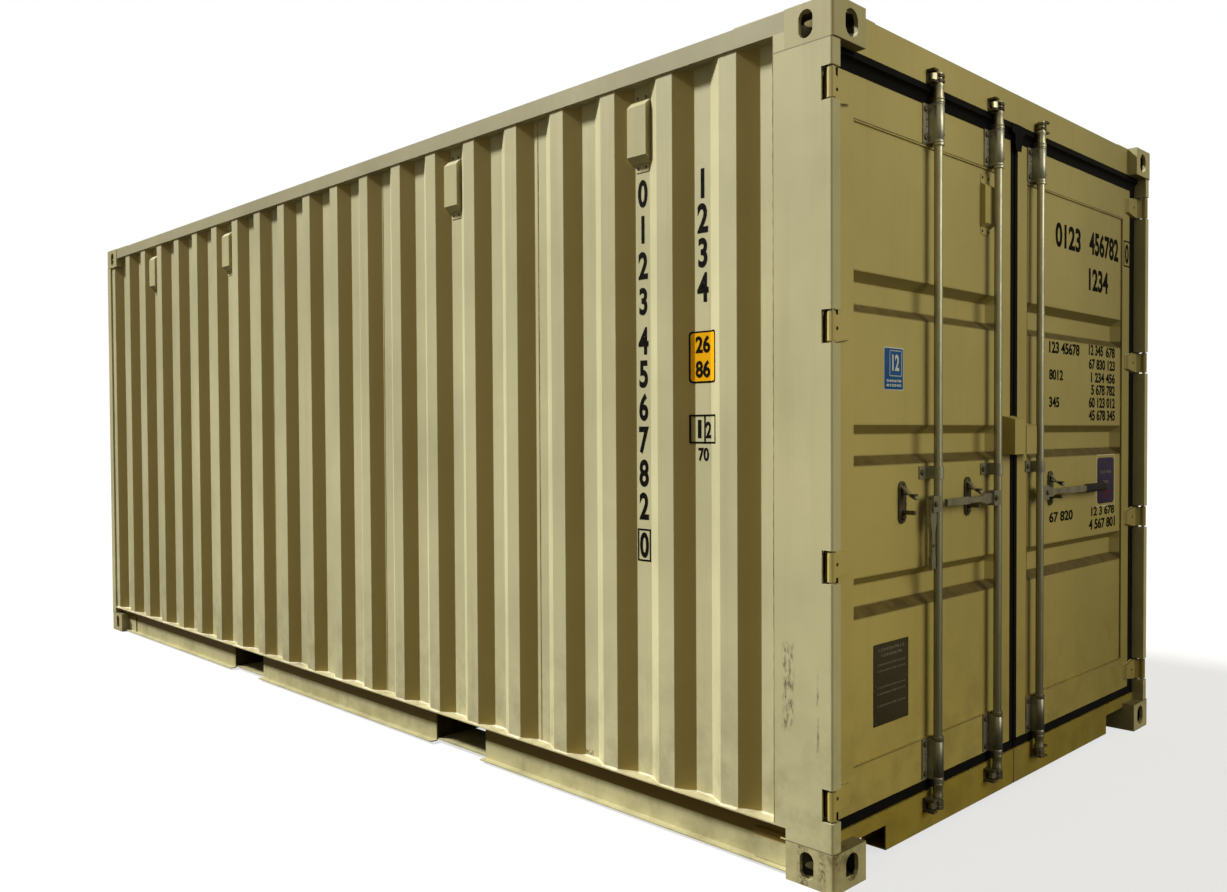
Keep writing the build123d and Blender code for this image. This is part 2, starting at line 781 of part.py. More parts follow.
def handle(y, side, reach, hanging):
    """Flat handle: a broad root on the hub pin, a waist at the retainer and a paddle grip."""
    pivot = y + side * pivot_off
    edge = [(root_half, 0), (root_half, root_l), (waist_half, waist_from), (waist_half, waist_to),
            (grip_half, waist_to + grip_half), (grip_end, reach)]
    outline = edge + [(-w, r) for w, r in edge[::-1]]
    if hanging:
        outline = [(pivot + w, hub_z - r) for w, r in outline]
    else:
        outline = [(pivot + side * r, hub_z + w) for w, r in outline]
    with BuildPart() as lever:
        with BuildSketch(Plane.YZ.offset(bar_x - handle_t / 2)):
            with BuildLine():
                Polyline(*outline, close=True)
            make_face()
            with Locations((pivot, hub_z)):
                RegularPolygon(root_half, flats)
                Circle(pivot_r + running, mode=Mode.SUBTRACT)
            if hanging:
                with Locations((pivot, hub_z - hole_drop)):
                    RegularPolygon(pivot_r, flats, mode=Mode.SUBTRACT)
        extrude(amount=handle_t)
    return lever


left_door_frame = leaf_frame(-1)
left_door_frame.part.label = "left_door_frame"
right_door_frame = leaf_frame(1)
right_door_frame.part.label = "right_door_frame"
left_door_panel = leaf_panel(-1)
left_door_panel.part.label = "left_door_panel"
right_door_panel = leaf_panel(1)
right_door_panel.part.label = "right_door_panel"
left_door_gasket = leaf_gasket(-1)
left_door_gasket.part.label = "left_door_gasket"
right_door_gasket = leaf_gasket(1)
right_door_gasket.part.label = "right_door_gasket"
left_hinge_blades = hinge_blades(-1)
left_hinge_blades.part.label = "left_hinge_blades"
right_hinge_blades = hinge_blades(1)
right_hinge_blades.part.label = "right_hinge_blades"
left_bar_guides = bar_guides(bar_y[:2], panel_face)
left_bar_guides.part.label = "left_bar_guides"
right_bar_guides = bar_guides(bar_y[2:], leaf_face)
right_bar_guides.part.label = "right_bar_guides"
left_handle_retainers = retainers(retainer_left)
left_handle_retainers.part.label = "left_handle_retainers"
right_handle_retainer = retainers(retainer_right)
right_handle_retainer.part.label = "right_handle_retainer"
left_lock_box = lock_box(-1, lock_left_h)
left_lock_box.part.label = "left_lock_box"
right_lock_box = lock_box(1, lock_right_h)
right_lock_box.part.label = "right_lock_box"

vent_y = bar_y[1] + door_vent_set
vent_z = leaf_z1 - door_vent_top
with BuildPart() as door_ventilator:
    with BuildSketch(Plane.XZ.offset(-vent_y)):
        with BuildLine():
            Polyline((panel_face, vent_z - door_vent_h),
                     (panel_face + door_vent_out, vent_z - door_vent_h + door_vent_bevel),
                     (panel_face + door_vent_out, vent_z - door_vent_bevel), (panel_face, vent_z), close=True)
        make_face()
    extrude(amount=door_vent_w)
door_ventilator.part.label = "door_ventilator"

locking_bar_1 = locking_bar(bar_y[0], bar_side[0])
locking_bar_1.part.label = "locking_bar_1"
locking_bar_2 = locking_bar(bar_y[1], bar_side[1])
locking_bar_2.part.label = "locking_bar_2"
locking_bar_3 = locking_bar(bar_y[2], bar_side[2])
locking_bar_3.part.label = "locking_bar_3"
handle_1 = handle(bar_y[0], bar_side[0], handle_len[0], True)
handle_1.part.label = "handle_1"
handle_2 = handle(bar_y[1], bar_side[1], handle_len[1], False)
handle_2.part.label = "handle_2"
handle_3 = handle(bar_y[2], bar_side[2], handle_len[2], False)
handle_3.part.label = "handle_3"

pieces = (
    top_corner_castings, bottom_door_castings, bottom_front_castings, door_corner_posts, hinge_pins,
    front_corner_posts, top_side_rails, bottom_side_rails, door_header, door_sill, front_rails,
    right_side_wall, left_side_wall, front_wall, roof, roof_corner_plates, floor_cross_members,
    fork_pocket_frames, fork_pocket_straps, floor_boards, floor_centre_rail, side_ventilators,
    top_cam_keepers, bottom_cam_keepers, left_door_frame, right_door_frame, left_door_panel, right_door_panel,
    left_door_gasket, right_door_gasket, left_hinge_blades, right_hinge_blades, left_bar_guides,
    right_bar_guides, left_handle_retainers, right_handle_retainer, left_lock_box, right_lock_box,
    door_ventilator, locking_bar_1, locking_bar_2, locking_bar_3, handle_1, handle_2, handle_3)
for piece in pieces:
    export_step(piece.part, f"parts/{piece.part.label}.step")
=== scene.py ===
import logging
import math
from dataclasses import dataclass
from enum import Enum
from typing import Iterable, Optional, Sequence

import bmesh
import bpy
import numpy as np
from mathutils import Matrix, Vector


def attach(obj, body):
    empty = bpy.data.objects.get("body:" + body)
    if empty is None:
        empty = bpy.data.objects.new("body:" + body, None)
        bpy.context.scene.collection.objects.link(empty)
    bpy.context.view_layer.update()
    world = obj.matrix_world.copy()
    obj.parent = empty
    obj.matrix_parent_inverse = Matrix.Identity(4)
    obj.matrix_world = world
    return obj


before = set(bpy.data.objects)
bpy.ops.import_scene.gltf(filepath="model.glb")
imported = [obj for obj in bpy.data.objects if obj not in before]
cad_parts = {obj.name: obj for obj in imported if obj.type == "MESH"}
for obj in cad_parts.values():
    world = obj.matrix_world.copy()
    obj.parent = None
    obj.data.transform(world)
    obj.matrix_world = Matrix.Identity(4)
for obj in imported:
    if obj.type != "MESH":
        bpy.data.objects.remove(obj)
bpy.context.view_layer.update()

Triple = tuple[float, float, float]
Points = Sequence[Sequence[float]]
Node = bpy.types.Node
Socket = bpy.types.NodeSocket
Material = bpy.types.Material
Feeds = dict[str | int, object]

log = logging.getLogger("container")
BARS = {"bar_1": ("left_door", -0.603), "bar_2": ("left_door", -0.187), "bar_3": ("right_door", 0.153)}
LEAVES = ((-1, "left_door"), (1, "right_door"))
SIDES = ((-1, "left"), (1, "right"))
BAR_X = 3.008  # axis of the locking bars
LEAF_FACE = 2.974  # outer face of the door frames
PANEL_FACE = 2.968  # outer face of the pressed door panels
HUB_Z = 1.106  # height of the handles' hub pins
RECESS_Y = 1.175  # outer skin of the walls between their folds
FOLD_PITCH = 0.278  # from one fold of the side walls to the next
WIDE = 9.0  # a half size that is no limit
RUST = (104, 76, 46)
CHIPPED = (96, 62, 34)


class Slot(Enum):
    """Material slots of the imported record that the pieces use."""

    PAINT = "container_paint"
    STEEL = "galvanised_steel"
    RUBBER = "seal_rubber"


def rgb(red: float, green: float, blue: float) -> tuple[float, float, float, float]:
    """Turns display levels from 0 to 255 into the linear colour of shaders, with an alpha of one."""
    shown = np.array([red, green, blue]) / 255.0
    linear = np.where(shown <= 0.04045, shown / 12.92, ((shown + 0.055) / 1.055) ** 2.4)
    return (*(float(v) for v in linear), 1.0)


class NodeSheet:
    """A node tree with short calls for the nodes that the finishes and the world use."""

    def __init__(self, owner: bpy.types.ID) -> None:
        """Starts an empty tree on a material or a world."""
        owner.use_nodes = True
        self.tree = owner.node_tree
        self.tree.nodes.clear()

    def add(self, kind: str, feeds: Optional[Feeds] = None, **settings: object) -> Node:
        """Adds a node, sets its named properties and feeds its inputs."""
        node = self.tree.nodes.new(kind)
        for key, value in settings.items():
            setattr(node, key, value)
        self.feed(node, feeds or {})
        return node

    def feed(self, node: Node, feeds: Feeds) -> None:
        """Links the named or numbered inputs of a node to sockets, or sets constants on them."""
        for key, value in feeds.items():
            if isinstance(value, Socket):
                self.tree.links.new(value, node.inputs[key])
            else:
                node.inputs[key].default_value = value

    def level(self, value: object, low: float, high: float, to_low: float = 0.0,
              to_high: float = 1.0) -> Socket:
        """Maps low..high to to_low..to_high, clamped."""
        return self.add("ShaderNodeMapRange", {"Value": value, "From Min": low, "From Max": high,
                                               "To Min": to_low, "To Max": to_high}).outputs[0]

    def calc(self, kind: str, first: object, second: object = 0.0) -> Socket:
        """One arithmetic step."""
        return self.add("ShaderNodeMath", {0: first, 1: second}, operation=kind).outputs[0]

    def mix(self, share: object, first: object, second: object) -> Socket:
        """Mixes two colours, which are inputs 6 and 7 of the node, by a share from 0 to 1."""
        feeds = {"Factor": share, 6: first, 7: second}
        return self.add("ShaderNodeMix", feeds, data_type="RGBA").outputs[2]

    def band(self, value: Socket, middle: float, half: float, soft: float) -> Socket:
        """One inside middle ± half, falling to zero over soft."""
        away = self.calc("ABSOLUTE", self.calc("SUBTRACT", value, middle))
        return self.level(away, half, half + soft, 1.0, 0.0)


class FinishSheet(NodeSheet):
    """The sheet of one material: a Principled shader fed from object coordinates."""

    def __init__(self, name: str) -> None:
        """Starts the material with its shader and output."""
        self.material = bpy.data.materials.new(name)
        super().__init__(self.material)
        self.shader = self.add("ShaderNodeBsdfPrincipled")
        self.output = self.add("ShaderNodeOutputMaterial", {"Surface": self.shader.outputs[0]})
        self.place = self.add("ShaderNodeTexCoord").outputs["Object"]

    def stretch(self, scale: Triple) -> Socket:
        """Object coordinates scaled along each axis."""
        return self.add("ShaderNodeMapping", {"Vector": self.place, "Scale": scale}).outputs[0]

    def noise(self, scale: float, detail: float = 3.0, rough: float = 0.55,
              vector: Optional[Socket] = None) -> Socket:
        """Soft noise from 0 to 1 at a scale in cycles a metre."""
        return self.add("ShaderNodeTexNoise", {"Vector": vector or self.place, "Scale": scale,
                                               "Detail": detail, "Roughness": rough}).outputs[0]

    def axis(self, letter: str) -> Socket:
        """One object coordinate as a number."""
        return self.add("ShaderNodeSeparateXYZ", {0: self.place}).outputs[letter]

    def start(self, share: Socket, first: Triple, second: Triple) -> None:
        """Sets the base colour, from first to second by a share from 0 to 1."""
        self.colour = self.mix(share, rgb(*first), rgb(*second))

    def lay(self, tint: Triple, share: object) -> None:
        """Lays a colour over the base colour by a share from 0 to 1."""
        self.colour = self.mix(share, self.colour, rgb(*tint))

    def finish(self, rough: Socket, height: Socket, distance: float, strength: float, gloss: float = 0.5,
               metallic: float = 0.0) -> Material:
        """Feeds the shader and hands over the material.

        Args:
            rough: roughness.
            height: height field of the bump.
            distance: depth of the bump in metres at full strength.
            strength: strength of the bump.
            gloss: specular level.
            metallic: how much it is bare metal.

        Returns:
            The finished material.
        """
        bump = self.add("ShaderNodeBump", {"Strength": strength, "Distance": distance, "Height": height})
        self.feed(self.shader, {"Base Color": self.colour, "Roughness": rough, "Specular IOR Level": gloss,
                                "Metallic": metallic, "Normal": bump.outputs[0]})
        return self.material


@dataclass(frozen=True)
class Stain:
    """Colour laid over a box of object space, even or broken up by noise.

    A half size of WIDE is no limit, and a value of every repeats the box along X at that pitch.
    """

    middle: Triple
    half: Triple
    colour: Triple
    share: float = 0.7
    soft: float = 0.006
    ragged: float = 0.0
    least: float = 0.0
    grain: float = 1.0
    cut: float = 0.42
    every: float = 0.0

    def over(self, sheet: FinishSheet) -> None:
        """Lays the stain over the base colour of a sheet."""
        inside = self.share
        for letter, middle, half in zip("XYZ", self.middle, self.half):
            if half < WIDE:
                place = sheet.axis(letter)
                if self.every and letter == "X":
                    shifted = sheet.calc("ADD", place, self.every / 2 - middle)
                    place = sheet.calc("FLOORED_MODULO", shifted, self.every)
                    middle = self.every / 2
                inside = sheet.calc("MULTIPLY", inside, sheet.band(place, middle, half, self.soft))
        if self.ragged:
            grains = sheet.noise(self.ragged, 5, 0.7, sheet.stretch((1, 1, self.grain)))
            broken = sheet.level(grains, self.cut, self.cut + 0.2, self.least, 1.0)
            inside = sheet.calc("MULTIPLY", inside, broken)
        sheet.lay(self.colour, inside)


@dataclass(frozen=True)
class Paint:
    """Sprayed steel paint with broad mottling, rain streaks, dust at the foot, rust spots, stains and, where
    asked, painted shade that grows towards +Y.
    """

    name: str
    colour: Triple
    dust: Triple = (150, 138, 92)
    grime: Triple = (92, 80, 46)
    shadow: Triple = (58, 56, 36)
    deep: Triple = (152, 132, 44)
    fall: float = 0.0
    far_side_shade: float = 0.0
    streaks: float = 0.22
    spots: float = 0.5
    roughness: float = 0.46
    stains: tuple[Stain, ...] = ()

    def material(self) -> Material:
        """Builds the finish."""
        sheet = FinishSheet(self.name)
        pale = tuple(min(255, c * 1.05 + 2) for c in self.colour)
        worn = tuple(c * 0.94 for c in self.colour)
        sheet.start(sheet.level(sheet.noise(1.3, 4), 0.35, 0.68), worn, pale)
        sheet.lay(self.colour, sheet.level(sheet.noise(38, 2), 0.3, 0.8, 0.0, 0.35))
        if self.fall:
            sheet.lay(self.deep, sheet.level(sheet.axis("Z"), 0.2, 2.3, self.fall, 0.0))
        # painted shade: the shadow colour is laid over more and more towards +Y
        if self.far_side_shade:
            sheet.lay(self.shadow, sheet.level(sheet.axis("Y"), -0.7, 1.1, 0.0, self.far_side_shade))
        rain = sheet.noise(1.0, 5, 0.6, sheet.stretch((16, 16, 0.8)))
        sheet.lay(self.dust, sheet.level(rain, 0.52, 0.78, 0.0, self.streaks))
        cloud = sheet.calc("MULTIPLY", sheet.level(sheet.noise(9, 5, 0.65), 0.42, 0.72), 0.4)
        foot = sheet.level(sheet.axis("Z"), 0.12, 0.75, 1.0, 0.0)
        sheet.lay(self.grime, sheet.calc("MULTIPLY", foot, cloud))
        sheet.lay(CHIPPED, sheet.level(sheet.noise(55, 3, 0.7), 0.745, 0.775, 0.0, self.spots))
        for stain in self.stains:
            stain.over(sheet)
        rough = sheet.level(sheet.noise(24, 3), 0.3, 0.75, self.roughness - 0.05, self.roughness + 0.12)
        height = sheet.calc("ADD", sheet.noise(420, 2), sheet.calc("MULTIPLY", sheet.noise(7, 2), 3.0))
        return sheet.finish(rough, height, 0.0004, 0.5, gloss=0.25)


@dataclass(frozen=True)
class Metal:
    """Zinc coated steel with flow marks, dull patches, a little rust and dirt towards the ground."""

    name: str
    colour: Triple
    roughness: float = 0.42
    rust: float = 0.35
    metallic: float = 0.85
    patches: float = 0.72
    fall: float = 0.55
    dirt: Triple = (62, 58, 38)

    def material(self) -> Material:
        """Builds the finish."""
        sheet = FinishSheet(self.name)
        dull = tuple(c * self.patches for c in self.colour)
        patch = sheet.level(sheet.noise(1.0, 4, 0.6, sheet.stretch((22, 22, 9))), 0.35, 0.7)
        sheet.start(patch, dull, self.colour)
        sheet.lay(RUST, sheet.level(sheet.noise(90, 4, 0.7), 0.62, 0.74, 0.0, self.rust))
        sheet.lay(self.dirt, sheet.level(sheet.axis("Z"), 0.1, 2.2, self.fall, 0.0))
        rough = sheet.level(patch, 0.0, 1.0, self.roughness + 0.16, self.roughness)
        return sheet.finish(rough, sheet.noise(160, 3), 0.0002, 0.2, metallic=self.metallic)


@dataclass(frozen=True)
class Rubber:
    """Black sealing rubber with a little grey bloom."""

    name: str
    colour: Triple = (9, 9, 10)
    bloom: Triple = (24, 23, 20)
    gloss: float = 0.08

    def material(self) -> Material:
        """Builds the finish."""
        sheet = FinishSheet(self.name)
        dust = sheet.level(sheet.noise(14, 4, 0.65), 0.5, 0.8, 0.0, 0.4)
        sheet.start(dust, self.colour, self.bloom)
        rough = sheet.level(dust, 0.0, 0.6, 0.72, 0.9)
        return sheet.finish(rough, sheet.noise(180, 2), 0.0003, 0.4, self.gloss)


@dataclass(frozen=True)
class Plywood:
    """Oiled plywood floor with long grain and trodden patches."""

    name: str
    light: Triple = (150, 104, 66)
    dark: Triple = (92, 58, 34)
    trodden: Triple = (112, 98, 82)

    def material(self) -> Material:
        """Builds the finish."""
        sheet = FinishSheet(self.name)
        grain = sheet.noise(1.0, 6, 0.62, sheet.stretch((2.2, 60, 60)))
        sheet.start(sheet.level(grain, 0.3, 0.7), self.dark, self.light)
        sheet.lay(self.trodden, sheet.level(sheet.noise(2.4, 4), 0.45, 0.75, 0.0, 0.5))
        return sheet.finish(sheet.level(grain, 0.3, 0.7, 0.5, 0.7), grain, 0.0008, 0.5)


@dataclass(frozen=True)
class Ink:
    """Flat printed or stencilled colour, worn in small specks."""

    name: str
    colour: Triple
    worn: Triple = (150, 142, 104)
    wear: float = 0.35
    roughness: float = 0.7
    gloss: float = 0.04

    def material(self) -> Material:
        """Builds the finish."""
        sheet = FinishSheet(self.name)
        specks = sheet.level(sheet.noise(120, 4, 0.7), 0.6, 0.72, 0.0, self.wear)
        sheet.start(specks, self.colour, self.worn)
        rough = sheet.level(sheet.noise(40, 2), 0.3, 0.7, self.roughness - 0.06, self.roughness + 0.1)
        return sheet.finish(rough, specks, 0.0001, 0.4, self.gloss)


@dataclass(frozen=True)
class Form:
    """Points and faces of one shape, in metres, ready to be turned, repeated and joined."""

    points: np.ndarray
    faces: tuple[np.ndarray, ...]

    def at(self, places: Iterable[Sequence[float]]) -> "Form":
        """Copies the shape to each place.

        Args:
            places: where the shape's own origin goes, one triple for each copy.

        Returns:
            All copies in one shape.
        """
        spots = np.array(list(places), float).reshape(-1, 1, 3)
        count = len(self.points)
        points = (self.points[None] + spots).reshape(-1, 3)
        steps = np.arange(len(spots))[:, None, None] * count
        faces = tuple((f[None] + steps).reshape(-1, f.shape[1]) for f in self.faces)
        return Form(points, faces)

    def turned(self, axis: str, degrees: float) -> "Form":
        """Turns the shape about an axis through its origin."""
        matrix = np.array(Matrix.Rotation(math.radians(degrees), 3, axis))
        return Form(self.points @ matrix.T, self.faces)

    @staticmethod
    def joined(forms: Iterable["Form"]) -> "Form":
        """Puts several shapes into one."""
        points, faces, base = [], [], 0
        for form in forms:
            points.append(form.points)
            faces.extend(f + base for f in form.faces)
            base += len(form.points)
        return Form(np.concatenate(points), tuple(faces))


def grid(rows: int, cols: int) -> np.ndarray:
    """Point numbers of the quads between rings of points, where rows is the number of rings."""
    r = np.arange(rows - 1)[:, None] * cols
    c = np.arange(cols)[None, :]
    n = (c + 1) % cols
    return np.stack([r + c, r + n, r + cols + n, r + cols + c], -1).reshape(-1, 4)


def rings(stack: np.ndarray) -> Form:
    """Skin over a stack of rings, of shape (rings, points in a ring, 3), with both ends closed."""
    rows, cols = stack.shape[:2]
    ends = np.array([np.arange(cols)[::-1], np.arange(cols) + (rows - 1) * cols])
    return Form(stack.reshape(-1, 3), (grid(rows, cols), ends))


def spun(profile: Points, sides: int, lobes: int, depth: float | np.ndarray) -> np.ndarray:
    """Rings of points about Z: at each angle the height of a profile point, and its radius times one
    plus depth times the cosine of lobes times the angle.

    Args:
        profile: radius and height pairs.
        sides: points round the axis.
        lobes: how many ridges run round it.
        depth: height of a ridge as a share of the radius, for all pairs or for each.

    Returns:
        Array of shape (pairs, sides, 3).
    """
    radius, height = np.array(profile, float).T[..., None]
    angle = np.linspace(0, 2 * np.pi, sides, endpoint=False)
    reach = radius * (1 + np.reshape(depth, (-1, 1)) * np.cos(lobes * angle))
    return np.stack([reach * np.cos(angle), reach * np.sin(angle), height + 0 * angle], -1)


def lathe(profile: Points, sides: int = 24, lobes: int = 0, depth: float = 0.0) -> Form:
    """Solid shape about Z with the profile as its outside, from the bottom up."""
    return rings(spun(profile, sides, lobes, depth))


def hoop(profile: Points, sides: int = 28, lobes: int = 0, depth: float = 0.0) -> Form:
    """Ring about Z with the profile as its closed section, ridged on its outer points."""
    radius = np.array(profile, float)[:, 0]
    points = spun(profile, sides, lobes, depth * (radius > radius.mean()))
    faces = grid(len(profile) + 1, sides) % (len(profile) * sides)
    return Form(points.reshape(-1, 3), (faces,))


def tube(inner: float, outer: float, low: float, high: float, edge: float = 0.001) -> Points:
    """Section of a plain ring with its outer edges broken."""
    return [(inner, low), (outer - edge, low), (outer, low + edge), (outer, high - edge),
            (outer - edge, high), (inner, high)]


def bolt(radius: float = 0.0075, high: float = 0.006) -> Form:
    """Six-sided bolt head on a washer, standing towards +X."""
    head = [(1.35 * radius, 0), (1.35 * radius, 0.22 * high), (radius, 0.24 * high),
            (radius, 0.85 * high), (0.75 * radius, high)]
    return lathe(head, 12, 6, 0.06).turned("Y", 90)


def rounded(width: float, height: float, radius: float, steps: int = 5) -> np.ndarray:
    """Rectangle outline whose corners are quarter circles of the given radius.

    Args:
        width, height: full size.
        radius: corner radius.
        steps: points on each corner.

    Returns:
        Outline points, anticlockwise.
    """
    angle = np.linspace(0, np.pi / 2, steps)[None] + np.arange(4)[:, None] * np.pi / 2
    sign = np.array([[1, 1], [-1, 1], [-1, -1], [1, -1]])[:, None, :]
    centre = sign * np.array([width / 2 - radius, height / 2 - radius])
    return (centre + radius * np.stack([np.cos(angle), np.sin(angle)], -1)).reshape(-1, 2)


def plate(outline: np.ndarray, thick: float, edge: float = 0.0) -> Form:
    """Flat plate standing on the YZ plane towards +X, its front edge drawn in to round it over.

    Args:
        outline: (y, z) points.
        thick: how far it stands out.
        edge: how much the front face is smaller all round.

    Returns:
        The closed shape.
    """
    middle = outline.mean(0)
    reach = np.abs(outline - middle).max()
    small = middle + (outline - middle) * (1 - edge / reach)
    layers = [(0.0, outline), (thick - edge, outline), (thick, small)]
    stack = [np.column_stack([np.full(len(o), x), o]) for x, o in layers]
    return rings(np.array(stack))


def bead(path: np.ndarray, out: Sequence[float], wide: float, high: float, pitch: float = 0.012,
         rough: float = 0.12) -> Form:
    """Weld bead: half an ellipse carried along a path, its size rippled by sines of the distance run.

    Args:
        path: corner points of the seam.
        out: direction in which the bead stands proud.
        wide, high: full width and height of the bead.
        pitch: distance from one ripple to the next.
        rough: share of the size by which slower waves swell and shrink it.

    Returns:
        The closed shape.
    """
    path = np.array(path, float)
    steps = np.linalg.norm(np.diff(path, axis=0), axis=1)
    run = np.concatenate([[0], np.cumsum(steps)])
    count = max(2, int(run[-1] / pitch * 2) + 1)
    where = np.unique(np.concatenate([np.linspace(0, run[-1], count), run]))
    centre = np.stack([np.interp(where, run, path[:, k]) for k in range(3)], -1)
    along = np.gradient(centre, axis=0)
    along /= np.linalg.norm(along, axis=1)[:, None]
    up = np.broadcast_to(np.array(out, float) / np.linalg.norm(out), along.shape)
    side = np.cross(along, up)
    side /= np.linalg.norm(side, axis=1)[:, None]
    angle = np.linspace(0, np.pi, 5)
    slow = np.sin(where * 9.7) + 0.6 * np.sin(where * 41.3 + 1.0) + 0.4 * np.sin(where * 97.1 + 2.0)
    size = 1 + 0.18 * np.sin(where / pitch * 2 * np.pi) + rough * slow
    across = (np.cos(angle)[None] * wide / 2 * size[:, None])[..., None] * side[:, None]
    lift = (np.sin(angle)[None] * high * size[:, None] - high * 0.1)[..., None] * up[:, None]
    return rings(centre[:, None] + across + lift)


def upright(x: float, y: float, low: float, high: float, out: Triple, *size: float) -> Form:
    """Bead on a vertical seam, its sizes as in bead."""
    return bead([(x, y, low), (x, y, high)], out, *size)


def placed(name: str, data: bpy.types.ID) -> bpy.types.Object:
    """A new object in the scene."""
    item = bpy.data.objects.new(name, data)
    bpy.context.scene.collection.objects.link(item)
    return item


class Workshop:
    """Turns shapes into pieces of the object, each riding on its body with its finish."""

    def __init__(self) -> None:
        """Starts with no pieces."""
        self.made: list[str] = []

    def piece(self, name: str, form: Form, finish: Material, body: str = "container",
              slot: Slot = Slot.PAINT, smooth: float = 40.0) -> None:
        """Makes one named piece.

        Args:
            name: piece name.
            form: its shape, in place.
            finish: its material.
            body: the body it rides on.
            slot: the record's material slot; not used.
            smooth: edges under this angle in degrees are shaded smooth.
        """
        mesh = bpy.data.meshes.new(name)
        faces = [tuple(row) for block in form.faces for row in block.tolist()]
        mesh.from_pydata(form.points.tolist(), [], faces)
        work = bmesh.new()
        work.from_mesh(mesh)
        bmesh.ops.recalc_face_normals(work, faces=work.faces)
        work.to_mesh(mesh)
        work.free()
        mesh.shade_smooth()
        mesh.set_sharp_from_angle(angle=math.radians(smooth))
        mesh.materials.append(finish)
        piece = placed(name, mesh)
        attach(piece, body)
        self.made.append(name)
        log.info("%s rides on %s, %d faces", name, body, len(mesh.polygons))


def levels(heights: Iterable[float], half: float, colour: Triple, *look: float) -> tuple[Stain, ...]:
    """Level stains round the whole object, their look given as a stain's share and what follows it."""
    return tuple(Stain((0, 0, z), (WIDE, WIDE, half), colour, *look) for z in heights)


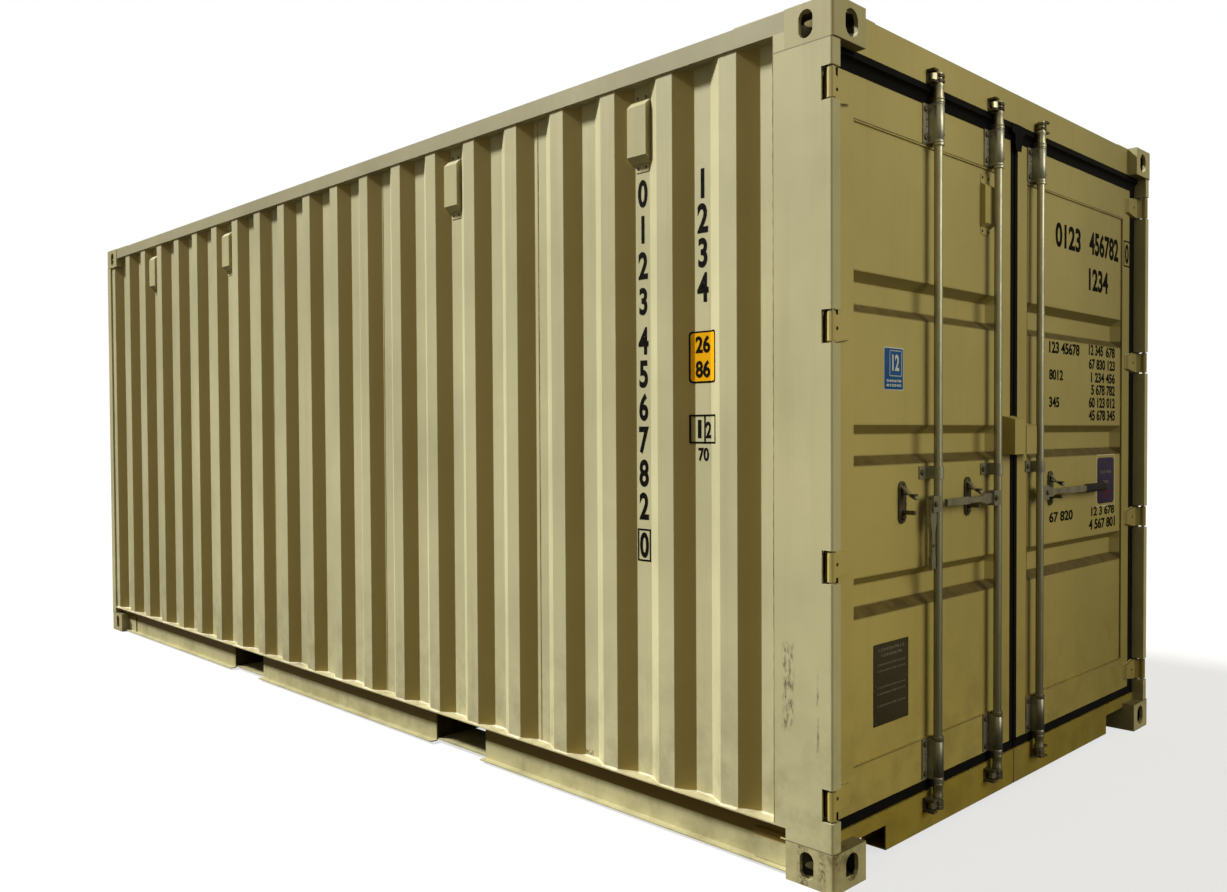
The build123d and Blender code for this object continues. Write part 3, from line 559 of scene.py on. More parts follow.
class Finishes:
    """All finishes of the container."""

    def __init__(self) -> None:
        """Builds the materials once."""
        self.sides()
        self.doors()
        self.beads()
        self.metals()
        self.inks()
        self.rubber = Rubber("seal_black").material()
        self.grip = Rubber("grip_black", (16, 16, 18), (40, 38, 36), 0.3).material()
        self.wood = Plywood("floor_ply").material()

    def sides(self) -> None:
        """Paints of the frame and walls, with their dirt lines and scuffs, and painted shade inside the
        castings, under the bottom rails' flanges, on the top rails, in the fork pockets and on the fold faces
        that look to the doors.
        """
        dark, brown = (34, 31, 32), (58, 48, 30)
        seams = levels((0.1185, 2.4725), 0.0012, (84, 74, 42), 0.65, 0.0012)
        silt = levels((0.158,), 0.004, (204, 194, 158), 0.7, 0.004, 14)
        scuffs = (Stain((2.861, -1.219, 0.585), (0.011, 0.02, 0.12), dark, 1.0, 0.016, 110, 0.0, 0.3, 0.47),
                  Stain((2.971, -1.219, 0.540), (0.002, 0.02, 0.13), (82, 68, 44), 0.9, 0.004, 90, 0.0,
                        0.25, 0.46))
        scrapes = (Stain((2.915, -1.219, 0.060), (0.012, 0.02, 0.055), brown, 0.75, 0.014, 90),
                   Stain((2.985, -1.219, 0.060), (0.006, 0.02, 0.06), brown, 0.75, 0.01, 90),
                   Stain((3.029, -1.190, 0.100), (0.02, 0.05, 0.02), (84, 66, 34), 0.7, 0.02, 40))
        # painted shade: dark brown boxes inside the corner castings, where their hollows lie in shade
        hollow_shade = tuple(Stain((x, y, z), (0.075, 0.067, 0.0385), (38, 31, 18), 0.9, 0.002)
                        for x in (-2.940, 2.940) for y in (-1.138, 1.138) for z in (0.0655, 2.5255))
        foot = Stain((1.912, -1.190, 0.176), (0.018, 0.05, 0.006), (60, 50, 30), 0.8, 0.006, 70)
        # painted shadow: a dark brown band on the bottom rails' webs, where their upper flanges cast shadow
        shade = tuple(Stain((0, y, 0.119), (WIDE, 0.010, 0.031), (122, 99, 37), 0.97, 0.004)
                      for y in (-1.174, 1.174))
        # painted shade and warm bounced light: a brown tone on each fold face that looks to the doors
        slope_shade = Stain((2.690, 0, 0), (0.031, WIDE, WIDE), (162, 140, 68), 0.8, 0.004, every=FOLD_PITCH)
        sand = (189, 183, 140)
        self.paint = Paint("sand_paint", sand).material()
        self.wall_paint = Paint("wall_sand_paint", (193, 188, 149), stains=(slope_shade, foot)).material()
        # painted shade: the top rails wear a darker copy of the sand paint, for their shaded undersides
        self.shaded_top_paint = Paint("shaded_top_sand_paint", (168, 162, 130)).material()
        self.rail_paint = Paint("rail_sand_paint", sand, stains=shade + silt).material()
        self.post_paint = Paint("post_sand_paint", (191, 185, 144), stains=seams + scuffs).material()
        # painted shade: the fork pocket frames are near black brown for the deep shade inside the pockets;
        # their own paint is sand
        self.pocket_shade_paint = Paint("pocket_shade_paint", (56, 47, 25)).material()
        self.casting_paint = Paint("casting_paint", (182, 174, 131), spots=0.9, streaks=0.35,
                                   stains=seams + scrapes + hollow_shade).material()

    def doors(self) -> None:
        """Paints of the door end, darker towards the foot, with painted shade towards the far side and on the
        upper slopes of the grooves.
        """
        door = (191, 178, 117)
        # the leaf paints get painted shade towards +Y, the far side
        leaf = {"deep": (168, 145, 50), "fall": 0.5, "far_side_shade": 0.35}
        slopes = levels((0.785, 1.254, 1.723), 0.0125, (70, 57, 28), 0.92, 0.006, 14, 0.86)
        # painted shade: olive bands on the upper, downward facing slopes of the door grooves
        eave_shade = levels((0.882, 1.351, 1.820), 0.0125, (110, 96, 36), 0.5, 0.007)
        self.door_paint = Paint("door_sand_paint", door, **leaf).material()
        self.panel_paint = Paint("panel_sand_paint", door, stains=slopes + eave_shade, **leaf).material()
        # the sill also gets painted shade towards +Y
        self.sill_paint = Paint("sill_sand_paint", (160, 142, 66), fall=0.6, far_side_shade=0.3,
                                streaks=0.4).material()

    def beads(self) -> None:
        """Paints of welds and sealants."""
        self.weld = Paint("weld_paint", (172, 162, 112), spots=0.9).material()
        self.pale = Paint("sealant_paint", (208, 200, 164), spots=0.9, streaks=0.5).material()
        self.caulk = Paint("caulk_paint", (120, 106, 62), spots=0.9).material()

    def metals(self) -> None:
        """Zinc and bare steel."""
        zinc = {"roughness": 0.3, "patches": 0.9}
        self.steel = Metal("zinc_bar", (180, 178, 156), rust=0.15, metallic=0.8, **zinc).material()
        self.sleeve = Metal("zinc_sleeve", (176, 176, 166), rust=0.1, **zinc).material()
        self.bright = Metal("zinc_bright", (214, 214, 204), 0.35, 0.1, 0.4).material()
        self.flange = Metal("zinc_flange", (178, 177, 158), 0.38, 0.25, 0.55, fall=0.35).material()
        self.dull = Metal("zinc_bracket", (112, 106, 88), 0.5, 0.5, 0.7).material()
        self.lever = Metal("zinc_lever", (172, 167, 146), 0.36, 0.3, 0.7, fall=0.3).material()
        self.cam = Metal("cam_steel", (106, 98, 72), 0.58, 0.6, 0.3, 0.5, 0.3).material()
        self.dark = Metal("shaded_gap", (24, 22, 17), 0.8, metallic=0.1).material()

    def inks(self) -> None:
        """Stencils, signs and label plates."""
        self.black = Ink("stencil_black", (14, 13, 10), wear=0.25).material()
        self.yellow = Ink("sign_yellow", (236, 172, 8), (190, 140, 40), 0.2).material()
        self.blue = Ink("label_blue", (30, 84, 146), (70, 110, 160), 0.2, gloss=0.2).material()
        self.white = Ink("label_white", (214, 214, 204), wear=0.2).material()
        self.violet = Ink("label_violet", (48, 38, 66), (90, 84, 110), 0.2, gloss=0.2).material()
        self.dull_ink = Ink("plate_pale", (112, 104, 92), (80, 74, 60), 0.5).material()
        self.red = Ink("label_red", (104, 30, 34), (70, 40, 50), 0.3).material()
        self.data_plate = Ink("plate_grey", (58, 53, 36), (96, 88, 62), 0.5, gloss=0.12).material()


@dataclass
class Carcass:
    """The CAD nodes, each dressed with its finish."""

    finishes: Finishes

    def dress(self) -> None:
        """Puts a finish on the material slots of every node."""
        f = self.finishes
        door = ("door_frame", "hinge_blades", "lock_box", "door_ventilator", "door_header")
        chosen = ((("locking_bar", "hinge_pins"), f.steel), (("handle_1", "handle_2", "handle_3"), f.lever),
                  (("bar_guides",), f.flange), (("retainer",), f.dull), (("cam_keepers",), f.cam),
                  (("gasket",), f.rubber), (("floor_boards",), f.wood), (("castings",), f.casting_paint),
                  (("door_panel",), f.panel_paint), (("door_sill",), f.sill_paint), (door, f.door_paint),
                  (("corner_posts",), f.post_paint), (("side_wall",), f.wall_paint),
                  (("pocket_frames",), f.pocket_shade_paint), (("bottom_side_rails",), f.rail_paint),
                  (("top_side_rails",), f.shaded_top_paint))
        for name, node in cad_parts.items():
            finish = next((m for words, m in chosen if any(word in name for word in words)), f.paint)
            node.data.materials.clear()
            node.data.materials.append(finish)
            log.info("node %s wears %s", name, finish.name)


def strip(path: np.ndarray, half: np.ndarray, thick: float) -> Form:
    """Flat strap: a thin rectangle carried along a path, across it and the X axis.

    Args:
        path: (x, y, z) points of the strap's middle line.
        half: half width at each point.
        thick: thickness towards +X.

    Returns:
        The closed shape.
    """
    path = np.array(path, float)
    along = np.gradient(path, axis=0)
    along /= np.linalg.norm(along, axis=1)[:, None]
    across = np.cross(along, np.array([1.0, 0, 0]))
    across /= np.linalg.norm(across, axis=1)[:, None]
    lift = np.cross(across, along)
    half = np.array(half)[:, None]
    signs = ((1, 1), (-1, 1), (-1, -1), (1, -1))
    return rings(np.stack([path + s * half * across + t * thick / 2 * lift for s, t in signs], 1))


def curve(points: Points, count: int) -> np.ndarray:
    """Smooth line near some corner points: a quadratic spline sampled evenly in its parameter."""
    points = np.array(points, float)
    points = np.concatenate([[2 * points[0] - points[1]], points, [2 * points[-1] - points[-2]]])
    spans = len(points) - 2
    t = np.linspace(0, spans - 1e-6, count)
    k = t.astype(int)
    u = (t - k)[:, None]
    a, b, c = points[k], points[k + 1], points[k + 2]
    return 0.5 * ((a - 2 * b + c) * u ** 2 + 2 * (b - a) * u + a + b)


@dataclass
class Group:
    """Pieces of one kind, with the workshop and the finishes that all groups share."""

    shop: Workshop
    finishes: Finishes


@dataclass
class BarHardware(Group):
    """Round sleeves, collars, necks and ridged cam heads on the three locking bars."""

    bar: float = 0.0147
    sleeve: float = 0.0189
    skin: float = 0.0022
    groove: float = 0.0008
    collar: float = 0.0198
    ridge: float = 0.0193
    top: tuple[float, float] = (2.290, 2.418)
    low: tuple[float, float] = (0.189, 0.324)
    middle: tuple[float, float] = (1.187, 1.229)
    cams: tuple[float, float] = (2.500, 0.107)
    flange: float = 0.005
    bolt_off: float = 0.034
    bolt_in: float = 0.018
    slot_off: float = 0.027
    strap_off: float = 0.044

    def collars(self) -> Form:
        """Rings at the ends of the long sleeves and tapered necks beyond them."""
        forms = []
        for low, high in (self.top, self.low):
            for start, end in ((low - 0.0105, low - 0.001), (high + 0.001, high + 0.0095)):
                forms.append(hoop(tube(self.bar, self.collar, start, end)))
        near = ((self.bar, 0), (0.0175, 0), (0.0188, 0.004), (0.0168, 0.012))
        far = ((0.0160, 0.018), (0.0180, 0.012), (0.0180, 0.004), (self.bar, 0.004))
        for way, start, end in ((1, self.top[1] + 0.011, self.cams[0] - 0.017),
                                (-1, self.low[0] - 0.012, self.cams[1] + 0.017)):
            forms.append(hoop([(r, start + way * h) for r, h in near] + [(r, end - way * h) for r, h in far]))
        return Form.joined(forms)

    def heads(self) -> Form:
        """Ridged heads round the cams, two rings of eight lobes at each end."""
        return Form.joined(hoop(tube(self.bar, self.ridge, low, low + 0.012, 0.002), 48, 8, 0.075)
                           for cam in self.cams for low in (cam - 0.0165, cam - 0.0005))

    def sleeves(self) -> Form:
        """Round skins of the sleeves with a fine groove near each end."""
        end = ((self.skin, 0), (0, 0.001), (0, 0.006), (self.groove, 0.007), (self.groove, 0.0085),
               (0, 0.0095))
        return Form.joined(hoop([(self.sleeve - d, low + h) for d, h in end]
                                + [(self.sleeve - d, high - h) for d, h in reversed(end)], 36)
                           for low, high in (self.top, self.low))

    def build(self) -> None:
        """Makes the round parts and fixings of each bar."""
        f = self.finishes
        strap = hoop(tube(self.sleeve - self.skin, self.sleeve, *self.middle), 36)
        for bar, (leaf, y) in BARS.items():
            for part, form, finish, body in (("collars", self.collars(), f.steel, bar),
                                             ("heads", self.heads(), f.cam, bar),
                                             ("sleeves", self.sleeves(), f.sleeve, leaf),
                                             ("strap", strap, f.flange, leaf)):
                self.shop.piece(f"{bar}_{part}", form.at([(BAR_X, y, 0)]), finish, body, Slot.STEEL)
            self.fixings(bar, y, leaf)

    def fixings(self, bar: str, y: float, leaf: str) -> None:
        """Bolts on the flanges, pale pressed slots between them and dark holes and pins in the sleeves."""
        f = self.finishes
        foot = LEAF_FACE + self.flange
        bolts, holes, slots = [], [], []
        for low, high in (self.top, self.low):
            for z in (low + self.bolt_in, high - self.bolt_in):
                bolts.append((foot, y - self.bolt_off, z))
                holes.append((BAR_X, y, z + 0.006))
            slots += [(foot, y - self.slot_off, low + share * (high - low)) for share in (0.32, 0.5, 0.68)]
        z = sum(self.middle) / 2
        strap_foot = foot if leaf == "right_door" else PANEL_FACE + self.flange
        bolts.append((strap_foot, y - self.strap_off, z))
        disc = [(r, self.sleeve + h) for r, h in ((0.004, -0.001), (0.004, 0.0005), (0.0025, 0.0007))]
        hole = lathe(disc, 16).turned("Y", 90).turned("Z", 24)
        pin = bolt(0.0042, 0.005).turned("Z", 90).at([(0.004, self.sleeve - 0.0015, 0)])
        slot = plate(rounded(0.006, 0.019, 0.0029), 0.0025, 0.001)
        for part, form, spots, finish in (("bolts", bolt(), bolts, f.dull),
                                          ("grease_holes", hole, holes, f.dark),
                                          ("strap_pin", pin, [(BAR_X, y, z)], f.dark),
                                          ("pressed_slots", slot, slots, f.bright)):
            self.shop.piece(f"{bar}_{part}", form.at(spots), finish, leaf, Slot.STEEL)


@dataclass
class HandleHardware(Group):
    """Hub bolts, the grip and the retainers' bolts, rims and latch hooks."""

    hub_x: float = 3.0213
    pivots: tuple[tuple[str, float], ...] = (("bar_1", -0.641), ("bar_2", -0.225), ("bar_3", 0.191))
    retainers: tuple[tuple[str, float], ...] = (("left_door", -0.765), ("left_door", -0.340),
                                                ("right_door", 0.325))
    plate_mid: float = 1.116
    plate_size: tuple[float, float] = (0.040, 0.136)
    bolt_up: float = 0.048
    hook: tuple[Triple, ...] = ((2.976, -0.005, 1.168), (2.988, -0.005, 1.158), (3.002, -0.004, 1.143),
                                (3.013, -0.002, 1.136), (3.0205, 0.0, 1.138), (3.0235, 0.001, 1.132))
    hook_points: int = 26
    grip_ends: tuple[float, float] = (0.577, 0.774)
    rib_pitch: float = 0.008

    def build(self) -> None:
        """Makes all small parts near the handles."""
        for bar, y in self.pivots:
            hub = bolt(0.008).at([(self.hub_x, y, HUB_Z)])
            self.shop.piece(f"{bar}_hub_bolt", hub, self.finishes.dull, bar, Slot.STEEL)
        self.grip()
        for number, (leaf, y) in enumerate(self.retainers, 1):
            self.retainer(number, leaf, y)

    def grip(self) -> None:
        """Moulded grip on the right-hand handle: rounded sections along Y, ribbed by a sine."""
        y = np.linspace(*self.grip_ends, 60)
        ends = np.clip(np.minimum(y - y[0], y[-1] - y) / 0.006, 0, 1) ** 0.5
        rib = 1 + 0.035 * np.sin((y - y[0]) / self.rib_pitch * 2 * np.pi)
        section = rounded(0.019, 0.034, 0.008) * ((0.82 + 0.18 * ends) * rib)[:, None, None]
        stack = np.stack([BAR_X + section[..., 0], np.broadcast_to(y[:, None], section.shape[:2]),
                          HUB_Z + section[..., 1]], -1)
        self.shop.piece("handle_grip", rings(stack), self.finishes.grip, "lever_3", Slot.RUBBER)

    def retainer(self, number: int, leaf: str, y: float) -> None:
        """Bolts, raised rim and latch hook of one retainer."""
        x, z = LEAF_FACE, self.plate_mid
        bolts = bolt(0.009, 0.008).at([(x, y, z + s) for s in (-self.bolt_up, self.bolt_up)])
        self.shop.piece(f"retainer_bolts_{number}", bolts, self.finishes.dull, leaf, Slot.STEEL)
        outline = rounded(*self.plate_size, 0.0199, 9)
        closed = np.concatenate([outline, outline[:1]]) * 0.93 + (y, z)
        path = np.column_stack([np.full(len(closed), x), closed])
        rim = bead(path, (1, 0, 0), 0.004, 0.0022, 0.02)
        self.shop.piece(f"retainer_rim_{number}", rim, self.finishes.dull, leaf, Slot.STEEL)
        line = curve(np.array(self.hook) + (0, y, 0), self.hook_points)
        hook = strip(line, 0.0115 - 0.0045 * np.linspace(0, 1, self.hook_points) ** 0.7, 0.0045)
        self.shop.piece(f"retainer_hook_{number}", hook, self.finishes.lever, leaf, Slot.STEEL, smooth=60)


@dataclass
class HingeDetail(Group):
    """Weld beads round the hinge blades, grease holes and rings at the pin ends."""

    heights: tuple[float, ...] = (0.256, 0.95233, 1.64867, 2.345)
    root: float = 1.160
    tip: float = 1.072
    half: float = 0.0425
    half_tip: float = 0.029
    blade: float = 0.012
    hole_y: float = 1.142
    pin: tuple[float, float] = (3.010, 1.204)

    def build(self) -> None:
        """Makes the details of the eight hinges."""
        f = self.finishes
        hole = lathe([(0.0055, 0), (0.0055, 0.0006), (0.003, 0.0008)], 16).turned("Y", 90)
        ring = hoop(tube(0.0072, 0.0105, 0.0, 0.003))
        for side, leaf in LEAVES:
            root, tip = side * self.root, side * self.tip
            seams = []
            for z in self.heights:
                for way in (-1, 1):
                    path = [(LEAF_FACE, root, z + way * self.half), (LEAF_FACE, tip, z + way * self.half_tip)]
                    seams.append(bead(path, (1, 0, way * 0.6), 0.007, 0.004))
                ends = (z - self.half_tip, z + self.half_tip)
                seams.append(upright(LEAF_FACE, tip, *ends, (1, 0, 0), 0.008, 0.004))
            holes = hole.at([(LEAF_FACE + self.blade, side * self.hole_y, z) for z in self.heights])
            rounds = ring.at([(self.pin[0], side * self.pin[1], z + self.half) for z in self.heights])
            self.shop.piece(f"{leaf}_hinge_welds", Form.joined(seams), f.weld, leaf)
            self.shop.piece(f"{leaf}_hinge_holes", holes, f.dark, leaf)
            self.shop.piece(f"{leaf}_hinge_rings", rounds, f.steel, leaf, Slot.STEEL)


@dataclass
class Seams(Group):
    """Weld beads between the sheets, rails, posts, castings and panels."""

    flat: float = 1.211
    first: float = 2.656
    folds: int = 20
    rear: float = 2.809
    front: float = -2.967
    low: float = 0.158
    high: float = 2.527
    joints: tuple[float, ...] = (1.631, 0.507, -0.614, -1.736)
    post: float = 1.1765
    caulk: float = 1.2145
    outside: float = 1.2155
    inside: float = 1.1795
    face: float = 3.022
    sill: float = 2.979
    panel: tuple[float, float, float, float] = (0.110, 1.041, 0.322, 2.2855)
    web: float = 1.177
    doubler: tuple[float, float, float, float] = (2.696, 2.851, 0.016, 0.1105)

    def doublers(self) -> None:
        """Thin plates on the webs of the bottom rails beside the door posts."""
        left, right, low, high = self.doubler
        form = plate(rounded(high - low, right - left, 0.003)[:, ::-1], 0.003, 0.0006)
        both = [form.turned("Z", 90 * side).at([((left + right) / 2, side * self.web, (low + high) / 2)])
                for side in (-1, 1)]
        self.shop.piece("rail_doublers", Form.joined(both), self.finishes.rail_paint)

    def fold_line(self, side: int, z: float) -> np.ndarray:
        """Points of the wall's outer skin from the door end to the front at one height."""
        left = self.first - FOLD_PITCH * np.arange(self.folds + 1)
        x = np.stack([left + 0.068, left, left - 0.072, left - 0.140], 1).ravel()
        y = np.tile([RECESS_Y, self.flat, self.flat, RECESS_Y], self.folds + 1)
        keep = (x > self.front) & (x < self.rear)
        x = np.concatenate([[self.rear], x[keep], [self.front]])
        y = np.concatenate([[RECESS_Y], y[keep], [y[keep][-1]]])
        return np.stack([x, side * y, np.full(len(x), z)], -1)

    def wall(self, side: int, word: str) -> None:
        """Beads at the foot and head of one side wall, at its posts and on the joints of its sheets."""
        f = self.finishes
        foot = bead(self.fold_line(side, self.low), (0, side, 0.9), 0.012, 0.0045, 0.02, 0.3)
        head = bead(self.fold_line(side, self.high), (0, side, -0.9), 0.009, 0.004, 0.02)
        ends = (self.low, self.high)
        post = upright(self.rear, side * self.post, *ends, (-1, side, 0), 0.008, 0.004, 0.02)
        caulk = upright(self.rear - 0.0025, side * self.caulk, *ends, (-0.6, side, 0), 0.005, 0.0035, 0.05)
        joints = [upright(x, side * RECESS_Y, self.low + 0.004, self.high - 0.004, (0, side, 0),
                          0.006, 0.0022, 0.03) for x in self.joints]
        for part, forms, finish in (("foot_sealant", [foot], f.pale), ("wall_welds", [head, post], f.weld),
                                    ("post_caulk", [caulk], f.caulk), ("sheet_joints", joints, f.weld)):
            self.shop.piece(f"{word}_{part}", Form.joined(forms), finish)

    def frame(self) -> None:
        """Beads where castings, posts, header and sill meet."""
        forms = []
        for side in (-1, 1):
            outside = side * self.outside
            for x, low, high in ((2.989, 2.459, 2.587), (self.sill, 0.118, 0.148)):
                forms.append(upright(x, side * self.inside, low, high, (1, -side * 0.5, 0), 0.007, 0.004))
            for z, way in ((2.473, -1), (0.118, 1)):
                face = [(self.face, side * 1.205, z), (self.face, side * 1.181, z)]
                forms.append(bead([(2.830, outside, z), (3.008, outside, z)], (0, 0, way), 0.005, 0.003))
                forms.append(bead(face, (0.6, 0, way), 0.006, 0.003))
                far = [(-3.020, outside, z), (self.front, outside, z)]
                forms.append(bead(far, (0, 0, way), 0.005, 0.003))
        self.shop.piece("frame_welds", Form.joined(forms), self.finishes.weld)
        joint = upright(self.sill, 0.0, 0.024, 0.146, (1, 0, 0), 0.004, 0.0015, 0.03)
        self.shop.piece("sill_joint", joint, self.finishes.dark)

    def leaves(self) -> None:
        """Fine beads round the door panels, with the upright ones of the left panel ground flush."""
        near, far, low, high = self.panel
        round_trip = ((near, low), (far, low), (far, high), (near, high), (near, low))
        for side, leaf in LEAVES:
            corners = [(LEAF_FACE, side * y, z) for y, z in round_trip]
            shown = range(4) if side > 0 else (0, 2)
            forms = [bead(corners[i:i + 2], (1, 0, 0), 0.0036, 0.0014, 0.016) for i in shown]
            self.shop.piece(f"{leaf}_panel_weld", Form.joined(forms), self.finishes.caulk, leaf)

    def build(self) -> None:
        """Makes every seam."""
        for side, word in SIDES:
            self.wall(side, word)
        self.frame()
        self.leaves()
        self.doublers()


@dataclass
class SealDetail(Group):
    """Black faces of the door seals, the lip over the header and the flap over the gap at the top."""

    thick: float = 0.002
    lip: tuple[tuple[float, float], ...] = ((2.9750, 2.417), (2.9760, 2.440), (2.9800, 2.450),
                                            (2.9898, 2.4555), (2.9898, 2.476))
    lip_thick: float = 0.001
    ends: tuple[float, float] = (0.0045, 1.172)
    foot: tuple[float, ...] = (0.151, 0.162, 0.173, 0.184)
    stile_mid: tuple[float, float] = (0.01575, 1.303)
    stile_size: tuple[float, float] = (0.0225, 2.25)
    flap_x: float = 2.9908
    flap: tuple[tuple[float, float], ...] = ((0.0006, 2.379), (0.020, 2.380), (0.026, 2.400), (0.028, 2.438),
                                             (0.054, 2.446), (0.052, 2.4755), (0.0006, 2.4765))

    def across(self, side: int, section: Points, thick: float) -> Form:
        """Thin lip that runs from the middle gap to the hinge side.

        Args:
            side: 1 for the right leaf and -1 for the left one.
            section: x and z points of its middle line.
            thick: its thickness.

        Returns:
            The closed shape.
        """
        line = np.array(section, float)
        along = np.gradient(line, axis=0)
        along /= np.linalg.norm(along, axis=1)[:, None]
        away = np.stack([along[:, 1], -along[:, 0]], -1) * thick / 2
        x, z = np.concatenate([line + away, (line - away)[::-1]]).T
        y = side * np.linspace(*self.ends, 24)[:, None]
        return rings(np.stack(np.broadcast_arrays(x, y, z), -1))

    def build(self) -> None:
        """Makes the strips, lips and flaps of both leaves."""
        rubber = self.finishes.rubber
        low = [(LEAF_FACE + self.thick / 2, z) for z in self.foot]
        y, z = self.stile_mid
        for side, leaf in LEAVES:
            middle = plate(rounded(*self.stile_size, 0.002) + (side * y, z), self.thick, 0.0005)
            face = Form.joined([self.across(side, self.lip, self.lip_thick),
                                self.across(side, low, self.thick), middle.at([(LEAF_FACE, 0, 0)])])
            flap = plate(np.array(self.flap) * (side, 1), 0.0025, 0.0008).at([(self.flap_x, 0, 0)])
            self.shop.piece(f"{leaf}_seal_face", face, rubber, leaf, Slot.RUBBER)
            self.shop.piece(f"{leaf}_gap_flap", flap, rubber, leaf, Slot.RUBBER)


@dataclass
class VentDetail(Group):
    """Fixing plates and screws of each ventilator."""

    centres: tuple[float, ...] = (2.203, 1.091, -1.133, -2.245)
    ends: tuple[float, float] = (2.262, 2.474)
    door_y: float = -0.212
    door_ends: tuple[float, float] = (2.070, 2.230)

    def build(self) -> None:
        """Makes the details of all ventilators."""
        f = self.finishes
        screw = bolt(0.0042, 0.0032)
        tab = plate(rounded(0.066, 0.030, 0.004), 0.0022, 0.0006)
        spots = [(x, z) for x in self.centres for z in (self.ends[0] - 0.013, self.ends[1] + 0.013)]
        for side, word in SIDES:
            tabs = tab.turned("Z", 90 * side).at([(x, side * RECESS_Y, z) for x, z in spots])
            screws = screw.turned("Z", 90 * side).at([(x + s, side * (RECESS_Y + 0.002), z)
                                                      for x, z in spots for s in (-0.020, 0.020)])
            self.shop.piece(f"{word}_vent_tabs", tabs, f.paint)
            self.shop.piece(f"{word}_vent_screws", screws, f.dull)
        y, (low, high) = self.door_y, self.door_ends
        tabs = plate(rounded(0.066, 0.034, 0.004), 0.0022, 0.0006).at([(PANEL_FACE, y, low - 0.008),
                                                                      (PANEL_FACE, y, high + 0.014)])
        screws = screw.at([(PANEL_FACE + 0.002, y + s, z) for z in (low - 0.012, high + 0.018)
                           for s in (-0.022, 0.022)])
        self.shop.piece("door_vent_tabs", tabs, f.door_paint, "left_door")
        self.shop.piece("door_vent_screws", screws, f.dull, "left_door", Slot.STEEL)


class Facing(Enum):
    """Which way a mark faces: the place of its own right, up and out."""

    LEFT = ((1, 0, 0), (0, 0, 1), (0, -1, 0))
    RIGHT = ((-1, 0, 0), (0, 0, 1), (0, 1, 0))
    DOORS = ((0, 1, 0), (0, 0, 1), (1, 0, 0))


def board(wide: float, high: float, thick: float, radius: float = 0.004, edge: float = 0.4) -> Form:
    """Thin rounded plate about the origin, x to the right, y up and z out.

    Args:
        wide, high: full size.
        thick: thickness.
        radius: corner radius.
        edge: how much of the thickness is rounded over.

    Returns:
        The closed shape.
    """
    flat = plate(rounded(wide, high, radius), thick, thick * edge)
    return Form(flat.points[:, [1, 2, 0]], flat.faces)


def frame_lines(wide: float, high: float, line: float) -> Form:
    """Open box drawn with four bars, its middle at the origin."""
    x, y = (wide - line) / 2, (high - line) / 2
    return Form.joined(board(w, h, 0.0006, line * 0.2, 0.0).at([spot]) for w, h, spot in
                       ((wide, line, (0, y, 0)), (wide, line, (0, -y, 0)),
                        (line, high, (x, 0, 0)), (line, high, (-x, 0, 0))))


